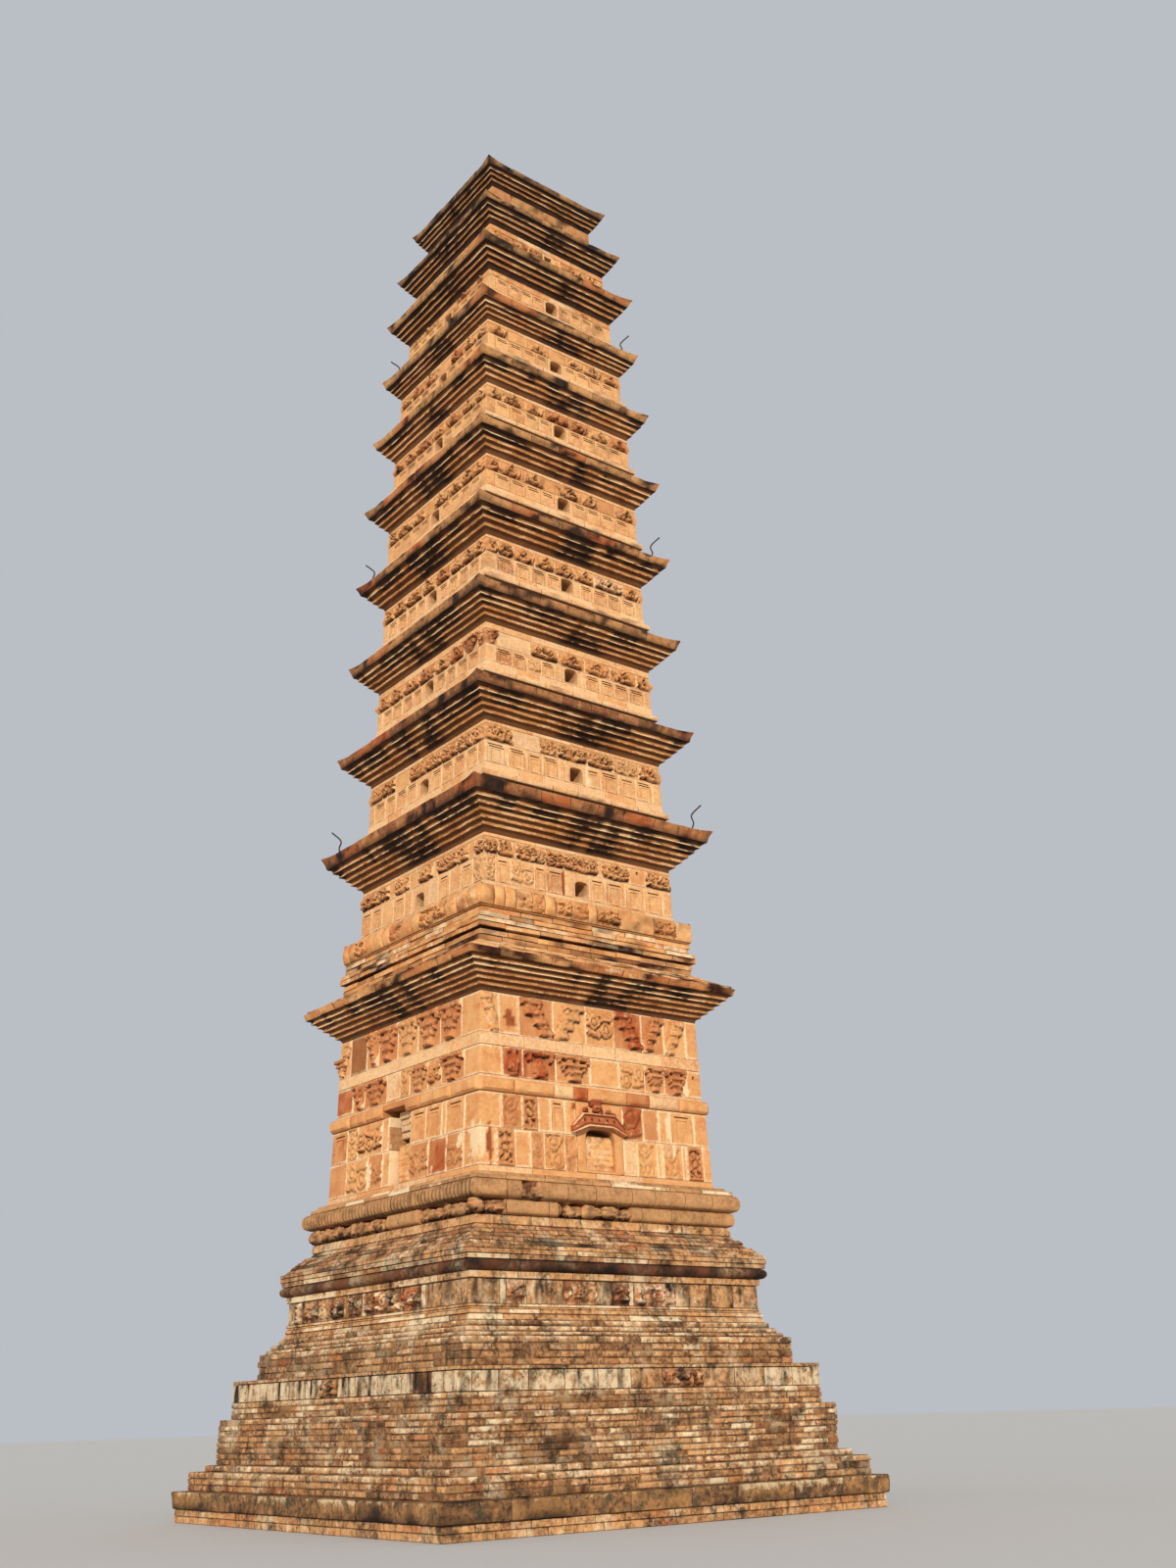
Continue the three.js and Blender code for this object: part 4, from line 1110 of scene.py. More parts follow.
# Each row of the profile has a kind, 0 underside, 1 arris or 2 face, and its course's number
def buildCorbels(number, half, soffit, eaveHalf, eave, count):
    out, rise = (eaveHalf - half) / (count + 1), (eave - soffit) / (count + 1)
    arris, faceHeight = corbel["arris"], rise * corbel["face"]
    rows = [(half - 0.004, soffit, 0, 0)]
    for i in range(1, count + 2):
        r, z, last = half + out * i, soffit + rise * i, half + out * (i - 1)
        base = soffit + rise * (i - 1) + (faceHeight if i > 1 else 0)
        gap = z - base
        rows += [(last + 0.10 * out, base + 0.55 * gap, 0, i), (last + 0.40 * out, base + 0.86 * gap, 0, i),
                 (r - 0.010, z - 0.002, 0, i)]
        if i <= count:
            rows += [(r, z, 1, i), (r + 0.001, z + arris, 1, i), (r, z + arris + 0.006, 2, i),
                     (r - 0.003, z + faceHeight, 2, i)]
    rows = np.array(rows)
    kinds, courses = rows[:, 2:].astype(np.int64).T[..., None]

    def shift(side, s, z, row, tile):
        brick = np.floor(s / 0.27 + 0.5 * courses + 3.7 * side).astype(np.int64)
        step = latticeValue(brick + 40, courses + 0 * brick, 11 + number) - 0.5
        return 0.008 * step + 0.009 * (clouds(s / 0.09 + 7 * side, z / 0.05, 3 + number) - 0.5)

    def finish(side, s, z, row, tile):
        up = courses / (count + 1)
        wave = clouds(s / 0.35 + 13 * side, z / 0.3, 21 + number)
        fine = clouds(s / 0.06 + 13 * side, courses * 0.9, 51 + number)
        middle = np.exp(-((s - 0.10) / (0.30 * half)) ** 2)
        blob = clouds(s / 0.19 + 13 * side, up * 1.3, 31 + number)
        light = clouds(s / 0.22 + 5 * side, courses * 0.7, 61 + number)
        top = unit((up - 0.50) * 6)
        black = np.maximum(top * np.clip((blob - 0.42) * 5, 0.15, 1),
                           np.clip(middle * 1.8 - 0.35, 0, 0.97) * unit((blob - 0.34) * 5) * (up > 0.15))
        # painted shade on the undersides; off the arrises, the higher storeys are darker all over
        under = np.where(kinds == 0, 0.64, 0.0) + np.clip(0.16 * (number - 7.4), 0, 0.5) * (kinds != 1)
        soot = np.clip(np.maximum(black * 0.97, under + 0.5 * black), 0, 0.93)
        soot = np.where(kinds == 1, soot * unit(3.0 * (0.50 - fine) + 0.1 + 0.5 * middle), soot)
        # pale arrises: worn, and a painted highlight
        pale = np.where(kinds == 1, (0.42 + 0.5 * top) * unit(4.0 * (fine - 0.30)), 0)
        pale = np.where(kinds == 2, 0.9 * np.clip(3.0 * (light - 0.50), 0, 0.6), pale)
        # upright faces painted lighter than the undersides, as if lit
        return finishOf(0.5 + 0.9 * (light - 0.5) + 0.38 * (kinds == 2), pale, soot, 0.25 * wave)

    batch = newBatch()
    addRing(batch, rows[:, :2], corbel["step"] * (1 if number < 6 else 1.4), shift=shift, finish=finish)
    makePiece(f"storey{number:02d}Corbels", batch, clay["corbelBrick"],
              f"storey_{number:02d}_corbels")


# eave tiles: long tiles with joints, corner tiles that lean out and turn up, stepped courses on top
flare = {"reach": 0.26, "out": 0.026, "up": 0.016}
capTop = {"half": 0.42, "rise": 0.110}
slopeSteps = 4
eaveLook = {  # tone, soot and red of a storey's tiles
    2: (0.35, 0.10, 0.9), 3: (0.30, 0.18, 0.8), 4: (0.60, 0.04, 0.5), 5: (0.55, 0.06, 0.5), 6: (0.80, 0, 0.3),
    7: (0.95, -0.1, 0.2), 8: (0.75, 0, 0.1), 9: (0.75, 0.06, 0.1), 10: (0.60, 0.14, 0), 11: (0.50, 0.30, 0),
}


def buildEave(number):
    a = storeys[number]
    k = np.random.default_rng(900 + number)
    tip, tipHalf, eave, eaveHalf = a["tip"], a["tipHalf"], a["eave"], a["eaveHalf"]
    after = storeys.get(number + 1, {"half": capTop["half"], "foot": tip + capTop["rise"]})
    inner, rise = after["half"], (after["foot"] - tip) / slopeSteps
    rows = [(eaveHalf - 0.02, eave), (eaveHalf - 0.002, eave + 0.003), (eaveHalf, eave + 0.010),
            (0.5 * (eaveHalf + tipHalf), eave + 0.5 * (tip - eave)), (tipHalf, tip - 0.014),
            (tipHalf - 0.002, tip - 0.004), (tipHalf - 0.012, tip)]
    for i in range(slopeSteps):
        r, z = tipHalf - 0.02 + (inner - tipHalf) * (i + 1) / slopeSteps, tip + rise * i
        rows += [(r + 0.006, z + 0.002), (r, z + 0.006), (r - 0.002, z + rise)]
    widest = max(row[0] for row in rows)
    leans = np.array([0, 0, 0, 0.35, 1, 1, 1, 0.5, 0.5, 0.5] + [0] * (3 * slopeSteps - 3))[:, None]
    tone0, soot0, red0 = eaveLook[number]
    joints = evenJoints(eaveHalf, 0.40, k)
    toneOf = k.uniform(-0.30, 0.30, 512)
    sootOf = np.where(k.uniform(size=512) < 0.25, k.uniform(0.2, 0.6, 512), 0)
    outOf = k.uniform(-0.005, 0.003, 512)

    def bend(s):  # the lean grows with the square of the nearness to the corner
        return unit(1 - (widest - np.abs(s)) / flare["reach"]) ** 2 * leans

    def lift(side, s, z, row, tile):
        return flare["up"] * bend(s)

    def shift(side, s, z, row, tile):
        wave = 0.014 * (clouds(s / 0.09 + 5 * side, z / 0.05, 15 + number) - 0.5)
        return flare["out"] * bend(s) + outOf[tile] * (row < 7) + wave

    def finish(side, s, z, row, tile):
        wave = clouds(s / 0.16 + 3 * side, z / 0.09, 25 + number)
        soot = soot0 + 0.6 * sootOf[tile] * (row < 8) + np.clip(6.0 * (wave - 0.56), -0.1, 0.85)
        # painted shade: the tile's underside near black and its lower edge darker
        soot = np.where(row <= 1, 0.97, soot)
        # the stepped courses on top painted dark with blotches, as shade under the lip above
        soot = np.where(row > 8, 0.25 + 0.8 * wave, soot)
        soot = soot + np.where(row == 2, 0.55, 0) + np.where((row == 4) | (row == 5), 0.9 * (wave - 0.38), 0)
        edge = np.where((row == 5) | (row == 6), 0.5 * wave, 0)
        redTile = np.where((toneOf[tile] > 0.16) & (row < 8) & (number < 10), 1.3 + red0, red0)
        return finishOf(tone0 + toneOf[tile], edge, np.clip(soot, 0, 0.95), redTile * wave)

    batch = newBatch()
    addRing(batch, rows, 0.045 if number < 6 else 0.065, joints, shift, lift, finish, 0.012)
    makePiece(f"storey{number:02d}EaveTiles", batch, clay["eaveTile"],
              f"storey_{number:02d}_eave_tiles")


# bent iron rods on three corners of three eaves: a round section carried along a smooth path
rods = {"radius": 0.009, "inset": 0.21, "sides": 8, "steps": 28, "storeys": (2, 5, 8),
        "corners": ((1, -1), (1, 1), (-1, 1)), "reference": (0.31, -0.95, 0.05),
        "path": [(0, -0.06), (0, 0.03), (0.028, 0.13), (0.010, 0.23), (0.125, 0.345)]}


# Catmull-Rom: each stretch is a cubic through its ends with its neighbours' slope
def smoothPath(points, steps):
    p = np.asarray(points, float)
    p = np.concatenate([2 * p[:1] - p[1:2], p, 2 * p[-1:] - p[-2:-1]])
    t = np.linspace(0, len(points) - 1 - 1e-6, steps)
    i = t.astype(int)
    f = (t - i)[:, None]
    a, b, c, d = p[i], p[i + 1], p[i + 2], p[i + 3]
    return 0.5 * (2 * b + (c - a) * f + (2 * a - 5 * b + 4 * c - d) * f ** 2 + (3 * b - a - 3 * c + d) * f ** 3)


def addTube(batch, path, radius, sides):
    def normal(v):
        return v / np.linalg.norm(v, axis=1)[:, None]

    tangent = normal(np.gradient(path, axis=0))
    across = normal(np.cross(tangent, rods["reference"]))
    angle = np.linspace(0, 2 * np.pi, sides, endpoint=False)[None, :, None]
    circle = radius * (np.cos(angle) * across[:, None] + np.sin(angle) * np.cross(tangent, across)[:, None])
    finish = np.broadcast_to(finishOf(), (len(path), sides, 4))
    addSkin(batch, path[:, None] + circle, path[[0, -1]], finish, finish[:2, 0])


def buildRods():
    flat = smoothPath(rods["path"], rods["steps"])
    for number in rods["storeys"]:
        batch = newBatch()
        reach = (storeys[number]["tipHalf"] * math.sqrt(2) - rods["inset"] + flat[:, 0]) / math.sqrt(2)
        for x, y in rods["corners"]:
            path = np.stack([x * reach, y * reach, storeys[number]["tip"] + flat[:, 1]], -1)
            addTube(batch, path, rods["radius"], rods["sides"])
        makePiece(f"storey{number:02d}BellRods", batch, iron, f"storey_{number:02d}_eave_tiles")


for storeyNumber, values in storeys.items():
    buildStorey(storeyNumber)
    buildCorbels(storeyNumber, *(values[key] for key in ("topHalf", "soffit", "eaveHalf", "eave", "corbels")))
    buildEave(storeyNumber)
buildRods()
print("storeys 2 to 11 made")

# Storey 1: rows of tiles, a hooded door filled with rough plaster and a broken door with a hole over it
storeyOne = {
    "foot": 3.130, "baseTop": 3.200, "lowerTop": 3.570, "panelTop": 3.925, "stringTop": 4.065,
    "courseTop": 4.100, "secondTop": 4.400, "bandTop": 4.530, "top": 4.950, "half": 1.510,
    "halfAtPanels": 1.482, "stringHalf": 1.500, "bracketFoot": 1.460, "bracketTop": 1.439}
doorWay = {"width": 0.376, "foot": 3.225, "top": 3.648, "rise": 0.11, "depth": 0.225, "jamb": 0.30}
# lower and panel row, south and west
jambs = (((0.30, 0.30), (0.195, 0.195)), ((0.30, 0.30), (0.245, 0.195)))
brokenGap = (0.35, 0.12)
# Rows of the south face and of the west face; the two rows beside the doors are in two halves.
upperRow = (
    "arm 0.22 right,plain 0.25,arm 0.43 rusty deep right,arm 0.42 left,vine 0.38 keyhole,"
    "arm 0.38 red deep right,arm 0.31 rusty deep left,arm 0.31 left,plain 0.17",
    "arm 0.25 left,plain 0.36 dark,arm 0.26 rusty right deep,bracket 0.40 rusty deep,bracket 0.42,"
    "bracket 0.44 rusty deep,bracket 0.40 rusty deep,plain 0.35")
secondRow = (
    "plain 0.26,vase 0.24 red deep,table 0.40 red deep,bracket 0.42 rusty deep keyhole,plain 0.38,"
    "vine 0.33 faint,bracket 0.27 rusty deep,bracket 0.30 rusty deep,plain 0.20 keyhole",
    "plain 0.35 red,arm 0.25 rusty deep right,bracket 0.48 rusty,plain 0.27 pale,vine 0.2 faint,"
    "bracket 0.36 rusty keyhole,vine 0.26,bracket 0.42 rusty deep,plain 0.29")
panelRow = (
    ("plain 0.26,vine 0.24 rusty framed faint,rosette 0.20 rusty framed,plain 0.16,panel 0.17,plain 0.15",
     "vine 0.28 red faint,plain 0.22 rusty,plain 0.16,panel 0.34,plain 0.20"),
    ("panel 0.30 rusty,vine 0.20 faint,vine 0.45,plain 0.12",
     "panel 0.30,panel 0.30,plain 0.08,panel 0.34,plain 0.26"),
)
lowerRow = (
    ("plain 0.20,rosette 0.22 framed rusty,plain 0.19,vine 0.17 framed rusty faint,vine 0.26 faint,"
     "rough 0.16 rusty",
     "plain 0.17 pale,vine 0.27 framed faint,plain 0.08,vine 0.27 framed faint,plain 0.06,"
     "rosette 0.22 framed rusty,plain 0.12"),
    ("plain 0.30 rusty,vine 0.36 faint,vine 0.24 rusty faint,plain 0.12",
     "vine 0.36 rusty faint,plain 0.33 red,vine 0.30 rusty faint,plain 0.27"),
)
stringRow = "roll 0.42,roll 0.50,roll 0.25 pale,roll 0.18 red,roll 0.52,roll 0.31 red,roll 0.42 pale,roll 0.42"
brokenString = ("roll 0.5,roll 0.4 rusty,roll 0.4", "roll 0.3 rusty,roll 0.6,roll 0.5")
plaster = (  # side, place along and up, half width, half height and kind of each patch
    (0, -1.46, 3.455, 0.060, 0.16, "plaster"), (0, -1.37, 3.41, 0.040, 0.19, "bare"),
    (0, 0.93, 3.73, 0.040, 0.17, "plaster"), (0, 0.98, 3.50, 0.030, 0.10, "plaster"),
    (0, 0.24, 3.49, 0.070, 0.10, "pink"), (0, 0.90, 3.50, 0.090, 0.07, "pink"),
    (0, -1.33, 4.66, 0.090, 0.07, "pink"), (0, -1.08, 4.70, 0.060, 0.10, "bare"),
    (0, 1.25, 4.20, 0.040, 0.08, "plaster"), (0, 0.46, 3.79, 0.110, 0.08, "bare"),
    (0, -0.30, 3.86, 0.060, 0.05, "bare"), (3, 1.42, 3.43, 0.100, 0.17, "plaster"),
    (3, 1.15, 3.48, 0.045, 0.09, "plaster"), (3, 0.648, 3.262, 0.026, 0.026, "plaster"),
    (3, -0.10, 4.25, 0.060, 0.12, "pink"), (3, -0.62, 3.35, 0.050, 0.12, "plaster"))


def buildStoreyOne():
    a, d = storeyOne, doorWay
    k = np.random.default_rng(101)
    lower = newBatch(), face(a["half"], a["foot"], a["halfAtPanels"], a["panelTop"])
    string = newBatch(), face(a["stringHalf"])
    bracket = newBatch(), face(a["bracketFoot"], a["stringTop"], a["bracketTop"], a["top"])
    addCore(lower[0], a["halfAtPanels"] - coreDepth, a["foot"], a["panelTop"])
    addCore(string[0], a["halfAtPanels"] - coreDepth, a["panelTop"], a["stringTop"])
    addCore(bracket[0], a["bracketTop"] - coreDepth, a["stringTop"], a["top"])
    mortar = {"tone": 0.55, "mortar": 0.75, "smear": 0.011, "marks": plaster, "wear": 0.25}
    for side in range(4):
        west = side > 1
        step = 0.0136 if isSeen(side) else unseenStep

        def row(wall, foot, top, words, step, span=(None, None), **look):
            addTileRow(wall[0], side, a.get(foot, foot), a[top], wall[1], words, step, k, look, span)

        row(lower, "foot", "baseTop", "plain 0.4 pale,plain 0.5,plain 0.4 pale,plain 0.6", stripStep,
            tone=0.5, out=0.004)
        for words, foot, top, jamb in ((lowerRow, "baseTop", "lowerTop", jambs[0]),
                                       (panelRow, "lowerTop", "panelTop", jambs[1])):
            first, second, before, beyond = *words[west], *jamb[west]
            if not isSeen(side):
                first, second, before, beyond = mirrored(second), mirrored(first), beyond, before
            row(lower, foot, top, first, step, (None, -before), **mortar)
            row(lower, foot, top, second, step, (beyond, None), **mortar)
        if west:
            addBrokenHead(*lower, side, k)
            before, beyond = brokenGap if isSeen(side) else brokenGap[::-1]
            row(string, "panelTop", "stringTop", brokenString[0], rollStep, (None, -before), tone=0.5,
                ground=-0.1)
            row(string, "panelTop", "stringTop", brokenString[1], rollStep, (beyond, None), tone=0.55,
                ground=-0.1)
            row(string, 4.000, "stringTop", "plain 0.4 rusty", rollStep, (-before, beyond), tone=0.4)
        else:
            mouth = archOutline(d["width"], d["foot"], d["top"], d["rise"])
            edge = d["jamb"] - 0.001
            addOpening(lower[0], side, -edge, edge, a["baseTop"],
                       a["panelTop"] - relief["jointGap"], lower[1],
                       dict(openingLook, mouth=mouth, depth=d["depth"], tone=0.55, pale=0, red=0.05,
                            dark=(0.45, 0.42), paintedFloorLight=0))
            row(string, "panelTop", "stringTop", rowWords((stringRow, stringRow), side), rollStep, tone=0.55,
                ground=-0.1)
        row(bracket, "stringTop", "courseTop", "plain 0.5 pale,plain 0.4,plain 0.6 pale,plain 0.5 pale",
            stripStep, tone=0.7, pale=0.3)
        row(bracket, "courseTop", "secondTop", rowWords(secondRow, side), step, **mortar)
        row(bracket, "secondTop", "bandTop",
            "plain 0.5 pale,plain 0.7 pale,plain 0.4 pale,plain 0.6 pale,plain 0.5", plainStep, tone=0.65,
            pale=0.3, out=0.004)
        row(bracket, "bandTop", "top", rowWords(upperRow, side), step, **mortar)
    ledges = np.arange(4)
    reach = a["bracketTop"] + 0.018 * ledges + 0.010
    addBricks(bracket[0], 3, -reach, np.full(4, -1.30), 4.560 + 0.050 * ledges, 4.596 + 0.050 * ledges, reach,
              0.16, finishOf(0.4, 0, 0.15, 0.4), 0.008)
    makePiece("storey01LowerRelief", lower[0], clay["terracotta"], "storey_01_lower_wall")
    makePiece("storey01StringCourse", string[0], clay["terracotta"], "storey_01_string_course")
    makePiece("storey01BracketRelief", bracket[0], clay["terracotta"], "storey_01_bracket_wall")


# The broken head of the west door: stepped bricks on one side, a slanting break on the other, bricks inside
brokenHead = {  # left, right, foot and top of each brick
    "steps": ((0.172, 0.230, 3.640, 3.700), (0.150, 0.230, 3.705, 3.755), (0.165, 0.230, 3.760, 3.800),
              (0.128, 0.230, 3.806, 3.860), (0.140, 0.230, 3.866, 3.915)),
    "slope": ((-0.300, -0.196, 3.575, 3.640), (-0.300, -0.222, 3.645, 3.730), (-0.300, -0.236, 3.735, 3.820)),
    "inside": ((-0.230, 0.020, 3.690, 3.760), (-0.205, 0.060, 3.764, 3.830), (-0.235, 0.040, 3.834, 3.900),
               (-0.260, 0.070, 3.904, 3.985)),
    "insideFronts": (1.340, 1.360, 1.335, 1.355),
}


def addBrokenHead(batch, halfAt, side, k):
    def bricks(key, sunk, fronts, depth, bevel, *finish):
        s0, s1, z0, z1 = np.array(brokenHead[key]).T
        if not isSeen(side):
            s0, s1 = -s1, -s0
        out = halfAt(z0) - sunk if fronts is None else fronts
        addBricks(batch, side, s0, s1, z0, z1, out, depth, finishOf(*finish), bevel)

    bricks("steps", k.uniform(0.01, 0.05, 5), None, 0.18, 0.008, 0.7, 0.5, 0.1, 0.1)
    bricks("slope", 0.004, None, 0.2, 0.010, 0.6, 0.25, 0.0, 0.2)
    bricks("inside", 0, brokenHead["insideFronts"], 0.12, 0.010, 0.5, 0.6, 0.15, 0.0)


fillings = {  # front of the plaster from the axis, its top, the narrowing of its shoulders and its lumps
    "south": {"side": 0, "front": 1.473, "top": 3.577, "shoulder": 0.045, "lump": 0.020, "tone": 0.80,
              "pale": 0.18},
    "west": {"side": 3, "front": 1.398, "top": 3.626, "shoulder": 0.0, "lump": 0.016, "tone": 0.58,
             "pale": 0.12},
}


# A rough slab of plaster: its half width shrinks with the square of the height above its shoulders
def buildDoorFillings():
    d = doorWay
    for name, f in fillings.items():
        side = f["side"]
        batch = newBatch()
        half, height = 0.5 * d["width"] - 0.001, f["top"] - d["foot"] - 0.002
        u, y = np.meshgrid(np.linspace(-1, 1, 31), np.linspace(0, height, 31))
        s = u * (half - f["shoulder"] * unit((y - height + 0.12) / 0.12) ** 2)
        rough = clouds(s / 0.06 + 5, y / 0.05, 9 + side) - 0.5
        trowel = clouds(s / 0.12 + 5, y / 0.025, 19 + side) - 0.5
        rim = (np.abs(u) == 1) | (y == 0) | (y == y.max())
        out = f["front"] + f["lump"] * rough + 0.010 * trowel - 0.008 * rim - 0.007 * (y / 0.058 % 1 > 0.8)
        pale = f["pale"] + 0.9 * (clouds(s / 0.08 + 5, y / 0.05, 29 + side) - 0.5)
        red = 0.35 * (s > 0.34 * d["width"]) if side == 3 else 0.3 * (y < 0.05) + 0.2 * (rough < -0.15)
        # painted shade: darker at the top under the arch, in the low dents and round the rim
        soot = np.clip((y / height - 0.90) * 3, 0, 0.4) + np.clip(-1.8 * rough - 0.2, 0, 0.5) + 0.4 * rim
        addSheet(batch, side, s, d["foot"] + 0.001 + y, out, s, np.full_like(out, f["front"] - 0.13),
                 finishOf(f["tone"] + 0.5 * trowel, pale, soot, red))
        makePiece(name + "DoorFilling", batch, clay["terracotta"], name + "_door_blocking")


# The hood over the south door: a low hipped roof in relief, two bands below, one above, nail holes painted dark
# with shade between them, and lumps of broken brick on top.
hood = {"middle": -0.042, "tip": 0.332, "topFlat": 0.205, "lowFlat": 0.150, "ridge": 3.800, "tipTop": 3.668,
        "under": 3.656, "tipFoot": 3.588, "front": 1.487, "out": 0.085, "back": 1.460,
        "holes": (-0.19, -0.10, -0.01, 0.10, 0.19)}
hoodLumps = {"along": (-0.20, -0.045, -0.02, 0.10, 0.16), "up": (3.830, 3.845, 3.815, 3.822, 3.80),
             "out": 1.520, "size": (0.032, 0.058, 0.045, 0.036, 0.026)}


def buildHood():
    h = hood
    batch = newBatch()
    u, v = np.meshgrid(np.linspace(-1, 1, 81), np.linspace(0, 1, 33))
    s = u * h["tip"]

    def edge(flat, middle, end):  # level over the flat part, then straight down to the tip
        return middle + (end - middle) * unit((np.abs(s) - flat) / (h["tip"] - flat))

    def band(at, wide):
        return np.exp(-((v - at) / wide) ** 2)

    foot = edge(h["lowFlat"], h["under"], h["tipFoot"])
    z = foot + v * (edge(h["topFlat"], h["ridge"], h["tipTop"]) - foot)
    holes = np.maximum.reduce([np.exp(-(((s - at) / 0.014) ** 2 + ((v - 0.52) / 0.12) ** 2) ** 2)
                               for at in h["holes"]])
    rough = clouds(s / 0.03 + 9, z / 0.03, 5) - 0.5
    out = h["front"] + h["out"] * (1 - 0.30 * v) + 0.020 * band(0.05, 0.06) + 0.012 * band(0.22, 0.05)
    out += 0.018 * band(0.86, 0.07)
    out += 0.006 * rough - 0.020 * holes - 0.012 * ((np.abs(u) == 1) | (v == 0) | (v == 1))
    blotch = clouds(s / 0.06 + 9, z / 0.05, 7)
    # painted shade in the nail holes
    soot = 0.75 * band(0.24, 0.05) + 0.75 * band(0.80, 0.05) + 0.95 * holes
    pale = 0.95 * band(0.07, 0.07) + 0.75 * band(0.95, 0.06) + 0.6 * (blotch > 0.60) * band(0.5, 0.2)
    addSheet(batch, 0, s + h["middle"], z, out, s + h["middle"], np.full_like(out, h["back"]),
             finishOf(0.5 + 0.5 * rough, pale, np.clip(soot, 0, 0.9), 0.30))
    k = np.random.default_rng(5)
    along, up, size = (np.array(hoodLumps[key]) for key in ("along", "up", "size"))
    addLumps(batch, 0, along, up, np.full(5, hoodLumps["out"]), size, k, (0.5, 0.8))
    addBricks(batch, 0, [-0.135], [0.010], [3.875], [3.985], [1.530], 0.10, finishOf(0.5, 0.0, 0.1, 0.8),
              0.014, k, 0.010)
    makePiece("southDoorHood", batch, clay["redClay"], "south_door_hood")


# Courses that go right round: one closed ring each, with a worn edge, joints and a tone for every brick
courseLook = {
    "toneRange": 0.35, "palePart": 0, "paleRange": (0.35, 1.0), "sootPart": 0, "soot": 0, "redPart": 0,
    "bevel": 0.006, "dirt": 1, "under": 0.35, "blotch": 0, "footSoot": 0, "edgePale": 0, "topPale": 0,
}


def addCourse(batch, k, half0, half1, z0, z1, length, step, rough, **changes):
    look = {**courseLook, **changes}
    n, edge = 512, look["bevel"]
    tone = unit(look["tone"] + k.uniform(-1, 1, n) * look["toneRange"])
    pale = np.where(k.uniform(size=n) < look["palePart"], k.uniform(*look["paleRange"], n), 0)
    soot = np.where(k.uniform(size=n) < look["sootPart"], k.uniform(0.2, 0.6, n), look["soot"])
    red = np.where(k.uniform(size=n) < look["redPart"], k.uniform(0.15, 0.55, n), 0)
    out = k.uniform(-1, 0.4, n) * rough
    seed = int(k.integers(1, 9000))
    profile = [(half0 - 1.5 * edge, z0), (half0, z0 + edge), (0.5 * (half0 + half1), z0 + 0.5 * (z1 - z0)),
               (half1, z1 - edge), (half1 - 1.5 * edge, z1)]

    def shift(side, s, z, row, tile):
        return out[tile] + rough * 1.4 * (clouds(s / 0.08 + 9 * side, z / 0.04, seed) - 0.5)

    def finish(side, s, z, row, tile):
        wave = clouds(s / 0.5 + 7 * side, z / 0.4, seed + 3)
        blotch = unit(7 * (clouds(s / 0.22 + 5 * side, z / 0.09, seed + 6) - 0.52))
        # painted shadow on the bottom row, more at the foot's edge where asked; the top seam row is darker too
        dirt = soot[tile] + 0.9 * (wave - 0.58) * look["dirt"] + 0.35 * (row == 4) + look["under"] * (row == 0)
        dirt = dirt + look["footSoot"] * (row == 1) + look["blotch"] * blotch
        # painted highlight on the top edge, besides the worn pale lower edge
        edgePale = look["edgePale"] * (row == 1) + look["topPale"] * (row == 3)
        return finishOf(tone[tile], pale[tile] + edgePale * clouds(s / 0.1, z, seed + 5), dirt, red[tile])

    addRing(batch, profile, step, evenJoints(half0, length, k), shift, finish=finish)


# Rubble: lumps whose radius is one plus seven tenths of the noise and a tenth of a sine of the polar angle
def addLumps(batch, side, s, z, out, size, k, red=(0.1, 0.55)):
    n, rows, columns = len(s), 9, 14
    each = (n, 1, 1)
    theta = np.linspace(0, np.pi, rows)[None, :, None]
    phi = np.linspace(0, 2 * np.pi, columns, endpoint=False)[None, None, :]
    own = k.uniform(0, 90, each)
    dents = clouds(1.6 * np.cos(phi) + own, 1.6 * np.sin(phi) + 2.2 * np.cos(theta) + own, 7) - 0.5
    ridges = np.sin(9 * theta + 2 * np.cos(phi) + own) * np.sin(theta)
    r = size[:, None, None] * (1 + 0.7 * dents * np.sin(theta) + 0.09 * ridges)
    ds = r * np.sign(np.cos(phi)) * np.abs(np.cos(phi)) ** 0.7 * np.sin(theta) ** 0.7
    ds = ds * k.uniform(0.85, 1.3, each)
    do = r * np.sin(theta) ** 0.8 * np.sin(phi) * 0.8
    dz = r * np.cos(theta) * k.uniform(0.75, 1.05, each) + 0 * phi
    points = toWorld(side, s[:, None, None] + ds, out[:, None, None] + do, z[:, None, None] + dz)
    grid = np.arange(rows * columns).reshape(rows, columns)
    across = np.roll(grid, -1, axis=1)
    body = np.stack([grid[1:-2], grid[2:-1], across[2:-1], across[1:-2]], -1).reshape(-1, 4)
    caps = np.concatenate([np.stack([0 * grid[1], grid[1], across[1]], -1),
                           np.stack([0 * grid[1] + grid[-1, 0], across[-2], grid[-2]], -1)])
    offset = rows * columns * np.arange(n)[:, None, None]
    tone = k.uniform(0.4, 1.0, each) + 1.2 * dents
    pale = np.where(k.uniform(size=each) < 0.3, k.uniform(0.1, 0.35, each), 0) * (theta < 1.5)
    # painted shade on each lump's underside, in its dents and along its grooves
    soot = 0.75 * (theta > 2.0) + np.clip(-3.5 * dents - 0.25, 0, 0.75) + 0.45 * (ridges < -0.45)
    addSurface(batch, points, body[None] + offset, caps[None] + offset,
               finishOf(tone, pale, soot, k.uniform(*red, each)))


# The plinth of storey 2: pale courses, a lip that throws a dark shadow, and the band of swollen petals
petals = (
    "pillow 0.18,pillow 0.13,pillow 0.14,vine 0.20,vine 0.16 rusty,pillow 0.14,vine 0.20 deep,vine 0.22,"
    "pillow 0.12,vine 0.30 deep,plain 0.48,vine 0.30 deep,plain 0.24 pale",
    "pillow 0.14,pillow 0.15,vine 0.22 deep,pillow 0.16,pillow 0.17,pillow 0.15,vine 0.24 rusty,pillow 0.18,"
    "pillow 0.18,vine 0.26 deep,vine 0.2 deep,pillow 0.20,pillow 0.2 pale,pillow 0.22 pale")
petalBand = {"half": 1.450, "foot": 5.860, "height": 0.245}


